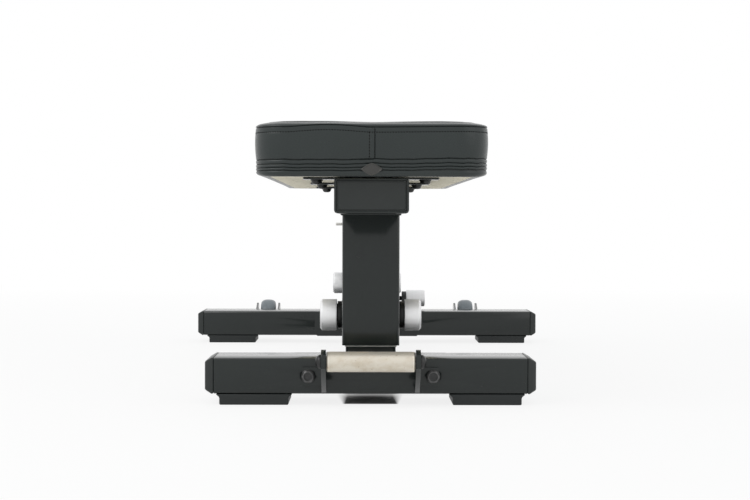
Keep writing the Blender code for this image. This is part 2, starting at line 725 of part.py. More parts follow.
def spine(parent):
    """The long tube under the pad and the plugs in its ends."""
    length = SPINE_REAR_Y - SPINE_FRONT_Y
    middle_z = (SPINE_BOTTOM_Z + SPINE_TOP_Z) / 2
    mesh = tube_mesh("spine", SPINE_WIDE, SPINE_HIGH, SPINE_WALL, SPINE_CORNER, length)
    tube = piece("spine", mesh, POWDER_COAT)
    place(tube, (0, (SPINE_FRONT_Y + SPINE_REAR_Y) / 2, middle_z), ALONG_FRONT, parent)
    slack = 2 * (SPINE_WALL + SEAT_GAP)
    outline = rounded_outline(SPINE_WIDE - slack, SPINE_HIGH - slack, SPINE_CORNER / 2)
    inset = SPINE_CAP_INSET + SPINE_CAP_THICK / 2
    for end, y in (("front", SPINE_FRONT_Y + inset), ("rear", SPINE_REAR_Y - inset)):
        name = f"spine_cap_{end}"
        cap = piece(name, outline_mesh(name, [outline], SPINE_CAP_THICK), BLACK_PLASTIC)
        place(cap, (0, y, middle_z), ALONG_FRONT, parent)


def cross_plate(name, y, parent):
    """A plate on top of the spine that carries the board."""
    outline = rounded_outline(CROSS_PLATE_WIDE, CROSS_PLATE_DEEP, CROSS_PLATE_CORNER)
    holes = [circle_outline(side * PAD_BOLT_X, 0, PAD_BOLT_RADIUS + BOLT_GAP) for _, side in SIDES]
    plate = piece(name, outline_mesh(name, [outline, *holes], CROSS_PLATE_THICK), POWDER_COAT)
    return place(plate, (0, y, (CROSS_PLATE_BOTTOM_Z + CROSS_PLATE_TOP_Z) / 2), parent=parent)


def pad_bolt_places():
    """Where the pad's bolts are, seen from above."""
    return [(side * PAD_BOLT_X, y) for y in CROSS_PLATE_YS for _, side in SIDES]


def pad_board(parent):
    """The plywood board that the cushion is drawn over, with blind holes for the pad's bolts."""
    wide, length = PAD_WIDE - 2 * BOARD_INSET, PAD_LONG - 2 * BOARD_INSET
    outline = rounded_outline(wide, length, PAD_CORNER - BOARD_INSET, PAD_CORNER_STEPS)
    board = piece("pad_board", outline_mesh("pad_board", [outline], BOARD_THICK), PLYWOOD)
    place(board, (0, PAD_MIDDLE_Y, BOARD_BOTTOM_Z + BOARD_THICK / 2), parent=parent)
    drill_long = PAD_BOLT_HOLE_DEEP + CUT_OVER
    drill = rod_mesh("board_drill", PAD_BOLT_RADIUS + BOLT_GAP, drill_long)
    for x, y in pad_bolt_places():
        hole = cutter("board_drill", drill)
        place(hole, (x, y, BOARD_BOTTOM_Z + PAD_BOLT_HOLE_DEEP - drill_long / 2))
        combine(board, [hole], "DIFFERENCE")
    return board


def pad_ring(inset, pull=1.0):
    """One level outline of the cushion, drawn in between its corners, as x and y about its middle."""
    half_wide, half_long = PAD_WIDE / 2 - inset, PAD_LONG / 2 - inset
    radius = max(PAD_CORNER - inset, PAD_LEAST_RADIUS)
    points = []
    for right, far, start in ((1, -1, -90), (1, 1, 0), (-1, 1, 90), (-1, -1, 180)):
        for step in range(PAD_CORNER_STEPS + 1):
            angle = math.radians(start + 90 * step / PAD_CORNER_STEPS)
            x = right * (half_wide - radius) + radius * math.cos(angle)
            y = far * (half_long - radius) + radius * math.sin(angle)
            points.append((x, y))
        corner = Vector(points[-1])
        way = Vector((-math.sin(angle), math.cos(angle)))
        inward = Vector((-way.y, way.x))
        if right * far < 0:
            shares, reach, depth = SIDE_SHARES, 2 * (half_long - radius), pull * PAD_SIDE_PULL
        else:
            shares, reach, depth = END_SHARES, 2 * (half_wide - radius), pull * PAD_END_PULL
        for share in shares:
            bow = depth * math.sin(math.pi * share) ** 0.5
            points.append(tuple(corner + way * reach * share + inward * bow))
    return points


def crown(x):
    """How far the cushion's top rises above its edge: two gentle crowns with a dip between them."""
    share = min(abs(x) / (PAD_WIDE / 2), 1.0)
    rise = PAD_CROWN * (1 - (2 * share - 1) ** 2)
    return rise + (PAD_CROWN - PAD_CENTRE_DIP) * max(0.0, 1 - 2 * share) ** 2


def pad_section():
    """The cushion's rings from its underside to its middle on top: how far in and how high each is."""
    channel_inset = PAD_CHANNEL_BASE + PAD_CHANNEL_DEPTH
    rings = [*PAD_FOOT_RINGS, (channel_inset, PAD_CHANNEL_HEIGHTS[0])]
    for below, height in zip(PAD_CHANNEL_HEIGHTS, PAD_CHANNEL_HEIGHTS[1:]):
        rings.append((PAD_CHANNEL_BASE, (below + height) / 2))
        rings.append((channel_inset, height))
    rings += PAD_WALL_RINGS
    edge_inset, edge_height = PAD_WALL_RINGS[-1]
    top = PAD_THICK - PAD_CROWN
    for step in range(1, PAD_EDGE_STEPS + 1):
        turn = math.pi / 2 * step / PAD_EDGE_STEPS
        inset = edge_inset + PAD_EDGE_RADIUS * (1 - math.cos(turn))
        rings.append((inset, edge_height + (top - edge_height) * math.sin(turn)))
    return rings, [(inset, top) for inset in PAD_TOP_INSETS]


def pad_cushion(parent):
    """The padded cushion: crowned, drawn in at its sides, with sewn channels and a pocket for the board."""
    bm = bmesh.new()
    side_rings, top_rings = pad_section()
    levels = []
    pocket_inset = BOARD_INSET - SEAT_GAP
    pocket_z = BOARD_TOP_Z - PAD_BOTTOM_Z + SEAT_GAP
    pocket = [(*point, pocket_z) for point in pad_ring(pocket_inset, 0)]
    mouth = [(*point, 0.0) for point in pad_ring(pocket_inset, 0)]
    levels += [pocket, mouth]
    for inset, height in side_rings:
        levels.append([(*point, height) for point in pad_ring(inset)])
    for inset, height in top_rings:
        levels.append([(x, y, height + crown(x)) for x, y in pad_ring(inset)])
    rows = [[bm.verts.new(point) for point in level] for level in levels]
    for lower, upper in zip(rows, rows[1:]):
        for n in range(len(lower)):
            m = (n + 1) % len(lower)
            bm.faces.new((lower[n], lower[m], upper[m], upper[n]))
    bm.faces.new(rows[0])
    bm.faces.new(rows[-1])
    bmesh.ops.recalc_face_normals(bm, faces=bm.faces)
    mesh = bpy.data.meshes.new("pad_cushion")
    bm.to_mesh(mesh)
    bm.free()
    smooth(mesh)
    cushion = piece("pad_cushion", mesh, LEATHER)
    return place(cushion, (0, PAD_MIDDLE_Y, PAD_BOTTOM_Z), parent=parent)


def pad_badge(parent):
    """A plain diamond plate on the front of the cushion."""
    outline = [(BADGE_WIDE / 2, 0), (0, BADGE_HIGH / 2), (-BADGE_WIDE / 2, 0), (0, -BADGE_HIGH / 2)]
    badge = piece("pad_badge", outline_mesh("pad_badge", [outline], BADGE_THICK), BLACK_PLASTIC)
    y = PAD_FRONT_Y + PAD_END_PULL + PAD_CHANNEL_BASE - SEAT_GAP - BADGE_THICK / 2
    return place(badge, (0, y, PAD_BOTTOM_Z + BADGE_ABOVE_UNDERSIDE), ALONG_FRONT, parent)


def barrel_mesh():
    """A barrel along its own Z from the sleeve outwards: a wide boss and a neck with an end wall."""
    neck_end = BOSS_LONG + BARREL_NECK_LONG
    bore, stem_bore = PIN_RADIUS + PIN_GAP, PIN_STEM_RADIUS + PIN_GAP
    profile = [
        (stem_bore, neck_end),
        (BARREL_NECK_RADIUS, neck_end),
        (BARREL_NECK_RADIUS, BOSS_LONG),
        (BOSS_RADIUS, BOSS_LONG),
        (BOSS_RADIUS, 0),
        (bore, 0),
        (bore, neck_end - BARREL_END_WALL),
        (stem_bore, neck_end - BARREL_END_WALL),
    ]
    return turned_mesh("barrel", profile, ring=True)


def barrels(parent):
    """The barrels that guide the four pins, welded to the sleeves."""
    barrel = barrel_mesh()
    for post, y in POSTS:
        for side_name, side in SIDES:
            name = f"{post}_{side_name}_barrel"
            fastener(name, barrel, BLACK_ZINC, (side * BARREL_X, y, PIN_Z), OUTWARD[side], parent)


def pull_pin(post, y, side_name, side, parent):
    """A knob and its pin, drawn back: their origin is on the pin's axis at the barrel's foot."""
    pin_name = f"{post}_{side_name}_pin"
    knob_foot = BOSS_LONG + SEAT_GAP
    knob_end = knob_foot + KNOB_LONG
    neck_end = BOSS_LONG + BARREL_NECK_LONG
    socket_end = neck_end + PIN_TRAVEL + SEAT_GAP
    skirt_end = knob_foot + PIN_TRAVEL + SEAT_GAP
    stem_end = (socket_end + knob_end) / 2
    stem_bore = PIN_STEM_RADIUS + SEAT_GAP
    shoulder = PIN_BODY_LONG - PIN_FIRST
    pin_profile = [
        (0, stem_end - SEAT_GAP),
        (PIN_STEM_RADIUS, stem_end - SEAT_GAP),
        (PIN_STEM_RADIUS, shoulder),
        (PIN_RADIUS, shoulder),
        (PIN_RADIUS, PIN_CHAMFER - PIN_FIRST),
        (PIN_RADIUS - PIN_CHAMFER, -PIN_FIRST),
        (0, -PIN_FIRST),
    ]
    pin = piece(pin_name, turned_mesh(pin_name, pin_profile), BRIGHT_STEEL)
    place(pin, (side * BARREL_X, y, PIN_Z), OUTWARD[side], parent)
    knob_name = f"{post}_{side_name}_knob"
    knob_profile = [
        (0, knob_end),
        (KNOB_RADIUS - KNOB_CHAMFER, knob_end),
        (KNOB_RADIUS, knob_end - KNOB_CHAMFER),
        (KNOB_RADIUS, knob_foot),
        (KNOB_RADIUS - KNOB_SKIRT_WALL, knob_foot),
        (KNOB_RADIUS - KNOB_SKIRT_WALL, skirt_end),
        (KNOB_SOCKET_RADIUS, skirt_end),
        (KNOB_SOCKET_RADIUS, socket_end),
        (stem_bore, socket_end),
        (stem_bore, stem_end),
        (0, stem_end),
    ]
    knob = piece(knob_name, turned_mesh(knob_name, knob_profile, FINE_SEGMENTS), ALUMINIUM)
    return place(knob, (side * BARREL_X, y, PIN_Z), OUTWARD[side], parent)


def clamp(parent):
    """The clamp screw: a stud with a collar, which bears on the liner, and the knob on its end."""
    bore = CLAMP_STUD_RADIUS + SEAT_GAP
    tip = SLEEVE_WIDE / 2 - SLEEVE_WALL
    collar_end = CLAMP_COLLAR_X + CLAMP_COLLAR_LONG
    knob_x = collar_end + SEAT_GAP
    stud_end = knob_x + CLAMP_SOCKET_DEEP - SEAT_GAP
    stud_profile = [
        (0, stud_end),
        (CLAMP_STUD_RADIUS, stud_end),
        (CLAMP_STUD_RADIUS, collar_end),
        (CLAMP_COLLAR_RADIUS, collar_end),
        (CLAMP_COLLAR_RADIUS, CLAMP_COLLAR_X),
        (CLAMP_STUD_RADIUS, CLAMP_COLLAR_X),
        (CLAMP_STUD_RADIUS, tip),
        (0, tip),
    ]
    stud = piece("clamp_stud", turned_mesh("clamp_stud", stud_profile), BLACK_ZINC)
    place(stud, (0, REAR_POST_Y, CLAMP_Z), ALONG_RIGHT, parent)
    profile = [
        (0, CLAMP_KNOB_LONG),
        (CLAMP_KNOB_RADIUS - CLAMP_KNOB_CHAMFER, CLAMP_KNOB_LONG),
        (CLAMP_KNOB_RADIUS, CLAMP_KNOB_LONG - CLAMP_KNOB_CHAMFER),
        (CLAMP_KNOB_RADIUS, 0),
        (bore, 0),
        (bore, CLAMP_SOCKET_DEEP),
        (0, CLAMP_SOCKET_DEEP),
    ]
    knob = piece("clamp_knob", turned_mesh("clamp_knob", profile), ALUMINIUM)
    place(knob, (knob_x, REAR_POST_Y, CLAMP_Z), ALONG_RIGHT, parent)


def peg(parent):
    """The thin steel peg in the left wall of the rear sleeve."""
    inner = SLEEVE_WIDE / 2 - SLEEVE_WALL
    outer = SLEEVE_WIDE / 2 + PEG_REACH
    rod = piece("rear_sleeve_peg", rod_mesh("rear_sleeve_peg", PEG_RADIUS, outer - inner), BRIGHT_STEEL)
    z = SLEEVE_TOP_Z - PEG_BELOW_SLEEVE_TOP
    return place(rod, (-(outer + inner) / 2, REAR_POST_Y, z), ALONG_RIGHT, parent)


def grip():
    """The carry grip: a round bar with a bore in each end for its bolt."""
    half, inside = GRIP_LONG / 2, GRIP_LONG / 2 - GRIP_BORE_DEEP
    bore = GRIP_BOLT_RADIUS + BOLT_GAP
    profile = [
        (0, inside),
        (bore, inside),
        (bore, half),
        (GRIP_RADIUS - GRIP_CHAMFER, half),
        (GRIP_RADIUS, half - GRIP_CHAMFER),
        (GRIP_RADIUS, GRIP_CHAMFER - half),
        (GRIP_RADIUS - GRIP_CHAMFER, -half),
        (bore, -half),
        (bore, -inside),
        (0, -inside),
    ]
    bar = piece("grip", turned_mesh("grip", profile, FINE_SEGMENTS), BRIGHT_STEEL)
    return place(bar, (0, GRIP_Y, GRIP_Z), ALONG_RIGHT)


def ear_outline():
    """The side of a grip ear, as y and z: straight at the foot and round about the grip's axis."""
    face_y = FRONT_POST_Y - FOOT_DEEP / 2 - SEAT_GAP
    points = [(face_y, FOOT_BOTTOM_Z + EAR_ABOVE_FOOT_BOTTOM), (face_y, FOOT_TOP_Z)]
    for step in range(EAR_STEPS + 1):
        angle = EAR_ROUND_START + EAR_ROUND_SWEEP * step / EAR_STEPS
        points.append((GRIP_Y + EAR_RADIUS * math.cos(angle), GRIP_Z + EAR_RADIUS * math.sin(angle)))
    return points


def grip_bracket(side_name, side):
    """An ear that carries the grip, with a flange bolted to the front foot."""
    name = "grip_bracket_" + side_name
    hole = circle_outline(GRIP_Y, GRIP_Z, GRIP_BOLT_RADIUS + BOLT_GAP)
    ear = piece(name, outline_mesh(name, [ear_outline(), hole], EAR_THICK), POWDER_COAT)
    place(ear, (side * (EAR_X + EAR_THICK / 2), 0, 0), ALONG_RIGHT)
    flange_size = (BRACKET_FLANGE_LONG - EAR_THICK / 2, BRACKET_FLANGE_THICK, BRACKET_FLANGE_HIGH)
    flange = cutter(name + "_flange", block_mesh(name + "_flange", flange_size))
    flange_x = EAR_X + (EAR_THICK / 2 + BRACKET_FLANGE_LONG) / 2
    flange_y = FRONT_POST_Y - FOOT_DEEP / 2 - 2 * SEAT_GAP - BRACKET_FLANGE_THICK / 2
    place(flange, (side * flange_x, flange_y, FOOT_MIDDLE_Z))
    drill = cutter(
        name + "_drill",
        rod_mesh(name + "_drill", BOLT_RADIUS + BOLT_GAP, BRACKET_FLANGE_THICK + 2 * CUT_OVER),
    )
    place(drill, (side * BRACKET_BOLT_X, flange_y, FOOT_MIDDLE_Z), ALONG_FRONT)
    combine(ear, [flange], "UNION")
    return combine(ear, [drill], "DIFFERENCE")


def grip_bracket_bolts():
    """The hex flange bolts on the front face of the front foot."""
    bolt = flange_bolt_mesh(BRACKET_FLANGE_THICK + FOOT_WALL + 4 * SEAT_GAP)
    seat_y = FRONT_POST_Y - FOOT_DEEP / 2 - BRACKET_FLANGE_THICK - 3 * SEAT_GAP
    for side_name, side in SIDES:
        place_of_bolt = (side * BRACKET_BOLT_X, seat_y, FOOT_MIDDLE_Z)
        fastener("grip_bracket_bolt_" + side_name, bolt, BLACK_ZINC, place_of_bolt, ALONG_FRONT)


def grip_bolts():
    """The bolts through the ears that the grip turns on."""
    seat = EAR_X + EAR_THICK + SEAT_GAP
    length = seat - GRIP_LONG / 2 + GRIP_BOLT_REACH
    overlap = GRIP_BOLT_HEAD_HIGH / 2
    shank = rod_mesh("shank", GRIP_BOLT_RADIUS, length + overlap)
    head = hex_mesh("head", GRIP_BOLT_ACROSS_FLATS, GRIP_BOLT_HEAD_HIGH)
    shapes = [(shank, (overlap - length) / 2), (head, GRIP_BOLT_HEAD_HIGH / 2)]
    bolt = joined_mesh("grip_bolt", shapes)
    for side_name, side in SIDES:
        place_of_bolt = (side * seat, GRIP_Y, GRIP_Z)
        fastener("grip_bolt_" + side_name, bolt, BLACK_ZINC, place_of_bolt, OUTWARD[side])


def wheel_bracket(side_name, side):
    """A channel welded behind the rear foot, whose two round ears carry a wheel."""
    name = "wheel_bracket_" + side_name
    inside, outside = WHEEL_EAR_INSIDE, WHEEL_EAR_INSIDE + WHEEL_EAR_THICK
    front, web, back = WHEEL_WEB_Y, WHEEL_WEB_Y + WHEEL_WEB_THICK, WHEEL_Y + WHEEL_EAR_RADIUS + CUT_OVER
    outline = [
        (-outside, front),
        (outside, front),
        (outside, back),
        (inside, back),
        (inside, web),
        (-inside, web),
        (-inside, back),
        (-outside, back),
    ]
    high = 2 * (WHEEL_EAR_RADIUS + CUT_OVER)
    channel = piece(name, outline_mesh(name, [outline], high), POWDER_COAT)
    place(channel, (side * WHEEL_X, 0, WHEEL_Z))
    front_cut = front - CUT_OVER
    web_top = FOOT_TOP_Z - WHEEL_WEB_BELOW_FOOT_TOP
    side_view = [(web, web_top), (front_cut, web_top), (front_cut, WHEEL_Z - WHEEL_EAR_RADIUS)]
    for step in range(EAR_STEPS + 1):
        angle = math.pi * (step / EAR_STEPS - 1 / 2)
        y = WHEEL_Y + WHEEL_EAR_RADIUS * math.cos(angle)
        side_view.append((y, WHEEL_Z + WHEEL_EAR_RADIUS * math.sin(angle)))
    hole = circle_outline(WHEEL_Y, WHEEL_Z, AXLE_RADIUS + BOLT_GAP)
    shape = cutter(name + "_shape", outline_mesh(name + "_shape", [side_view, hole], 3 * outside))
    place(shape, (side * WHEEL_X, 0, 0), ALONG_RIGHT)
    return combine(channel, [shape], "INTERSECT")


def wheel(side_name, side):
    """A wheel: a tyre on a hub, both about the axle."""
    centre = (side * WHEEL_X, WHEEL_Y, WHEEL_Z)
    half = WHEEL_WIDE / 2
    round_top = []
    for step in range(TREAD_STEPS + 1):
        turn = math.pi / 2 * step / TREAD_STEPS
        radius = WHEEL_RADIUS - TREAD_ROUND * (1 - math.sin(turn))
        round_top.append((radius, half - TREAD_ROUND + TREAD_ROUND * math.cos(turn)))
    round_bottom = [(radius, -height) for radius, height in reversed(round_top)]
    seat = HUB_RADIUS + SEAT_GAP
    tyre_profile = [(seat, half), *round_top, *round_bottom, (seat, -half)]
    name = "tyre_" + side_name
    tyre = piece(name, turned_mesh(name, tyre_profile, FINE_SEGMENTS, ring=True), WHEEL_RUBBER)
    place(tyre, centre, ALONG_RIGHT)
    bore = AXLE_RADIUS + BOLT_GAP
    floor = half - BEARING_RECESS
    hub_profile = [
        (BEARING_RADIUS, half),
        (HUB_RADIUS, half),
        (HUB_RADIUS, -half),
        (BEARING_RADIUS, -half),
        (BEARING_RADIUS, -floor),
        (bore, -floor),
        (bore, floor),
        (BEARING_RADIUS, floor),
    ]
    name = "hub_" + side_name
    place(piece(name, turned_mesh(name, hub_profile, ring=True), BLACK_PLASTIC), centre, ALONG_RIGHT)


def wheel_axles():
    """Axle bolts from the outside in, each with its nut and the two spacers beside the hub."""
    outside = WHEEL_EAR_INSIDE + WHEEL_EAR_THICK + SEAT_GAP
    length = 2 * outside + AXLE_NUT_HIGH + AXLE_END
    overlap = AXLE_HEAD_HIGH / 2
    recess_floor = WHEEL_WIDE / 2 - BEARING_RECESS
    spacer_long = WHEEL_EAR_INSIDE - recess_floor - 2 * SEAT_GAP
    spacer = rod_mesh("spacer", SPACER_RADIUS, spacer_long)
    spacer_x = (WHEEL_EAR_INSIDE + recess_floor) / 2
    shapes = [
        (rod_mesh("shank", AXLE_RADIUS, length + overlap), (overlap - length) / 2),
        (hex_mesh("head", AXLE_HEAD_ACROSS_FLATS, AXLE_HEAD_HIGH), AXLE_HEAD_HIGH / 2),
        (hex_mesh("nut", AXLE_HEAD_ACROSS_FLATS, AXLE_NUT_HIGH), -2 * outside - AXLE_NUT_HIGH / 2),
        (spacer, spacer_x - outside),
        (spacer.copy(), -spacer_x - outside),
    ]
    axle = joined_mesh("wheel_axle", shapes)
    for side_name, side in SIDES:
        place_of_axle = (side * (WHEEL_X + outside), WHEEL_Y, WHEEL_Z)
        fastener("wheel_axle_" + side_name, axle, BLACK_ZINC, place_of_axle, OUTWARD[side])


def base():
    """Everything that stands still on the floor, and what turns on it."""
    for post, y in POSTS:
        wide = FRONT_FOOT_WIDE if post == "front" else REAR_FOOT_WIDE
        pad_x = FRONT_FOOT_PAD_X if post == "front" else REAR_FOOT_PAD_X
        tube = foot(post, y, wide)
        towards = 1 if post == "front" else -1
        drill_foot(tube, post, towards, JOINT_BOLT_X)
        if post == "front":
            drill_foot(tube, post, -towards, BRACKET_BOLT_X)
        for side_name, side in SIDES:
            end_cap(post, y, wide, side_name, side)
            foot_pad(post, y, pad_x, side_name, side)
        upright(post, y)
    lower_beam()
    joint_bolts()
    for side_name, side in SIDES:
        grip_bracket(side_name, side)
        wheel_bracket(side_name, side)
        wheel(side_name, side)
    grip_bracket_bolts()
    grip_bolts()
    wheel_axles()
    grip()


def upper_frame():
    """Everything that slides up and down, under one empty on the front post's axis."""
    carriage = bpy.data.objects.new("height_carriage", None)
    PARTS.objects.link(carriage)
    carriage.location = (0, FRONT_POST_Y, SLEEVE_BOTTOM_Z)
    for post, y in POSTS:
        body = sleeve(post, y, carriage)
        if post == "rear":
            finish_rear_sleeve(body)
        liner(post, y, carriage)
        for side_name, side in SIDES:
            pull_pin(post, y, side_name, side, carriage)
    barrels(carriage)
    spine(carriage)
    for name, y in zip(("front", "middle", "rear"), CROSS_PLATE_YS):
        cross_plate("cross_plate_" + name, y, carriage)
    pad_board(carriage)
    pad_cushion(carriage)
    pad_badge(carriage)
    clamp(carriage)
    peg(carriage)


for leftover in list(bpy.data.objects):
    bpy.data.objects.remove(leftover)
PARTS = collection("flat_weight_bench")
CUTTERS = collection("cutters")
base()
upper_frame()
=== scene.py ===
"""The looks of a flat weight bench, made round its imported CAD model.

Metres, +Z up. The front, with the carry grip, faces -Y, and the wheels are at the rear.
"""

import math

import bmesh
import bpy
import numpy as np
from mathutils import Euler, Matrix, Vector
from mathutils.bvhtree import BVHTree


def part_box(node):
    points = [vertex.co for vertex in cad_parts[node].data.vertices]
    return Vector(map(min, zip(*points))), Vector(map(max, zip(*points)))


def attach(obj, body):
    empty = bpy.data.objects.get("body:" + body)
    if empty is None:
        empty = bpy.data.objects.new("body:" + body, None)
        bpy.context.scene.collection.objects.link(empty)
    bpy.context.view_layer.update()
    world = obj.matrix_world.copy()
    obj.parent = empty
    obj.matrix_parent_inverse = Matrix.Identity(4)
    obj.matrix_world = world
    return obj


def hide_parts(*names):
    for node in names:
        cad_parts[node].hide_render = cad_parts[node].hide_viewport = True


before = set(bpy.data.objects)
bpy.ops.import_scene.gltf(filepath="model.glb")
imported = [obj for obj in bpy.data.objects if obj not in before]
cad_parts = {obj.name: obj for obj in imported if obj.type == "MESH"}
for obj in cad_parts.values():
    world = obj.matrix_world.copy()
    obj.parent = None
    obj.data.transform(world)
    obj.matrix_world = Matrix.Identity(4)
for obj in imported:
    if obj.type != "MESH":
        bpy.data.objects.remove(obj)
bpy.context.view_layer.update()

SIDES = (("left", -1), ("right", 1))
POSTS = ("front", "rear")
PLATES = ("front", "middle", "rear")
CORNERS = ((1, -1, -90), (1, 1, 0), (-1, 1, 90), (-1, -1, 180))
UP = (0, 0, 1)
DOWN = (0, 0, -1)
MERGE = 1e-6


# ---- Node trees and finishes


class Wire:
    """A node's output: arithmetic on it adds Math nodes."""

    def __init__(self, maker, socket):
        self.maker = maker
        self.socket = socket

    def __add__(self, other):
        return self.maker.maths("ADD", self, other)

    def __sub__(self, other):
        return self.maker.maths("SUBTRACT", self, other)

    def __rsub__(self, other):
        return self.maker.maths("SUBTRACT", other, self)

    def __mul__(self, other):
        return self.maker.maths("MULTIPLY", self, other)

    __radd__ = __add__
    __rmul__ = __mul__


class Wiring:
    """A node tree in the making, and the family that its nodes' types start with."""

    def __init__(self, tree, family="ShaderNode"):
        self.tree = tree
        self.family = family

    def plug(self, socket, value):
        """Gives a socket a number, a colour or a wire."""
        if isinstance(value, Wire):
            self.tree.links.new(value.socket, socket)
        else:
            socket.default_value = value

    def node(self, kind, settings=None, sockets=None, output=0):
        """Adds a node: first its settings, then what its sockets hold."""
        made = self.tree.nodes.new(kind if "Node" in kind else self.family + kind)
        for label, value in (settings or {}).items():
            setattr(made, label, value)
        for label, value in (sockets or {}).items():
            self.plug(made.inputs[label], value)
        return Wire(self, made.outputs[output])

    def maths(self, operation, first, second=0.0):
        return self.node("ShaderNodeMath", {"operation": operation}, {0: first, 1: second})

    def seen(self):
        """1 for what the camera sees, straight, in a gloss or through glass, and 0 otherwise."""
        kinds = ("Camera", "Glossy", "Transmission")
        rays = [self.node("LightPath", output=f"Is {kind} Ray") for kind in kinds]
        return self.maths("MAXIMUM", self.maths("MAXIMUM", *rays[:2]), rays[2])


class Finish(Wiring):
    """A node material in the making; the slot that it is given is not used."""

    def __init__(self, name, slot="", **constants):
        self.material = bpy.data.materials.new(name)
        self.material.use_nodes = True
        super().__init__(self.material.node_tree)
        self.shader = self.tree.nodes["Principled BSDF"]
        for label, value in constants.items():
            label = label.replace("_", " ").title().replace("Ior", "IOR")
            self.shader.inputs[label].default_value = value

    def own(self, stretch=(1, 1, 1)):
        """The piece's own coordinates, stretched along its axes."""
        place = self.node("TexCoord", output="Object")
        return self.node("Mapping", sockets={"Vector": place, "Scale": stretch})

    def noise(self, per_metre, detail=2.0, stretch=(1, 1, 1), roughness=0.5):
        sockets = {"Vector": self.own(stretch), "Scale": per_metre}
        sockets |= {"Detail": detail, "Roughness": roughness}
        return self.node("TexNoise", sockets=sockets)

    def patches(self, low, high, *noise, **more):
        """Noise cut to patches: 0 below one level and 1 above another."""
        return self.ramp(self.noise(*noise, **more), low, high)

    def ramp(self, value, low, high, to_low=0.0, to_high=1.0):
        """A value spread from one range to another, and held at its ends."""
        sockets = {"Value": value, "From Min": low, "From Max": high}
        sockets |= {"To Min": to_low, "To Max": to_high}
        return self.node("MapRange", {"clamp": True}, sockets)

    def tones(self, base, *layers):
        """A colour under layers of (share, colour)."""
        tone = (*base, 1.0)
        for share, colour in layers:
            sockets = {0: share, 6: tone, 7: (*colour, 1.0)}
            tone = self.node("Mix", {"data_type": "RGBA"}, sockets, 2)
        return tone

    def bump(self, height, distance, under=None):
        """A bump of a depth in metres, on top of another one."""
        sockets = {"Height": height, "Distance": distance, "Strength": 1.0}
        if under:
            sockets["Normal"] = under
        return self.node("Bump", sockets=sockets)

    def attribute(self, label):
        return self.node("Attribute", {"attribute_name": label}, output="Fac")

    def coat(self, colour, roughness, metallic=None, normal=None):
        """Plugs what varies into the shader and gives the material."""
        given = {"Base Color": colour, "Roughness": roughness, "Metallic": metallic}
        for label, value in {**given, "Normal": normal}.items():
            if value is not None:
                self.plug(self.shader.inputs[label], value)
        return self.material


def powder_coat(name, pebble_deep):
    """Satin powder coat: fine pebble on a slow swell, clouded a little, with faint rubs."""
    gloss = {"specular_ior_level": 0.16, "coat_weight": 0.45, "coat_roughness": 0.14}
    f = Finish(name, "powder_coat", **gloss)
    dark, light = (0.010, 0.014, 0.013), (0.016, 0.021, 0.020)
    cloud = f.noise(14, 4)
    rubs = f.patches(0.60, 0.74, 46, 6, (1, 0.2, 1), 0.65)
    speck = (f.patches(0.60, 0.78, 900, 1) * 0.25, [1.5 * c for c in light])
    tone = f.tones(dark, (cloud, light), speck, (rubs * 0.20, [0.6 * c for c in dark]))
    swell = f.bump(f.noise(260), 0.00002)
    rough = 0.17 + cloud * 0.07 + rubs * 0.12
    return f.coat(tone, rough, normal=f.bump(f.noise(1500), pebble_deep, swell))


def moulded(name, slot, dark, light, rough, grain, deep):
    """Moulded plastic or rubber with a fine spark grain."""
    f = Finish(name, slot, specular_ior_level=0.45)
    spark = f.noise(grain, roughness=0.7)
    cloud = f.noise(22, 3)
    dust = f.patches(0.56, 0.72, 120, 5, roughness=0.7)
    tone = f.tones(dark, (cloud, light), (dust * 0.22, [1.9 * c for c in light]))
    return f.coat(tone, rough + spark * 0.16 - cloud * 0.06, normal=f.bump(spark, deep))


def turned_metal(name, slot, dark, light, rough, ring_deep, metallic=1.0):
    """Metal turned about the bench's X: fine rings, slight clouds and a few handling marks."""
    f = Finish(name, slot)
    rings = f.noise(2600, 3, (1, 0.004, 0.004))
    cloud = f.noise(60, 4)
    marks = f.patches(0.62, 0.76, 300, 5, (0.3, 1, 1), 0.7)
    bands = f.noise(420, 2, (1, 0.01, 0.01)) * 0.6 + cloud * 0.4
    tone = f.tones(dark, (bands, light), (marks * 0.3, [0.7 * c for c in dark]))
    rough = rough + rings * 0.12 + marks * 0.15 + cloud * 0.06
    return f.coat(tone, rough, metallic, f.bump(rings, ring_deep))


def knurled_steel():
    """Warm bare steel that is handled: faint brown stains, darker between the knurl's points."""
    f = Finish("knurled_steel", "bright_steel")
    stain = f.patches(0.46, 0.66, 38, 5, (0.6, 1, 1), 0.65)
    fine = f.noise(1300, 3)
    tone = f.tones(
        (0.79, 0.74, 0.64),
        (stain * 0.7, (0.60, 0.50, 0.36)),
        (f.patches(0.66, 0.72, 210, 3) * 0.7, (0.36, 0.25, 0.15)),
        (f.attribute("valley") * 0.25, (0.48, 0.43, 0.37)),
    )
    rough = 0.36 + stain * 0.14 + fine * 0.12
    return f.coat(tone, rough, 0.62 - stain * 0.18, f.bump(fine, 0.000012))


def dark_zinc(name, dark, light, rough):
    """Black zinc plating, worn brighter at random, and lighter along the edges of a bolt's head:
    partly wear, partly a painted highlight.
    """
    f = Finish(name, "black_zinc")
    cloud = f.noise(160, 4)
    worn = f.patches(0.55, 0.75, 420, 5, roughness=0.7)
    # painted highlight: the marked edges of a bolt's head are made lighter, partly for wear and
    # partly for the bright rim that light gives them
    edge = (f.attribute("edge") * 0.5, (0.17, 0.17, 0.17))
    tone = f.tones(dark, (cloud, light), (worn * 0.5, [2.2 * c for c in light]), edge)
    fine = f.bump(f.noise(2200), 0.000010)
    return f.coat(tone, rough + cloud * 0.14, 0.75 + worn * 0.15, fine)


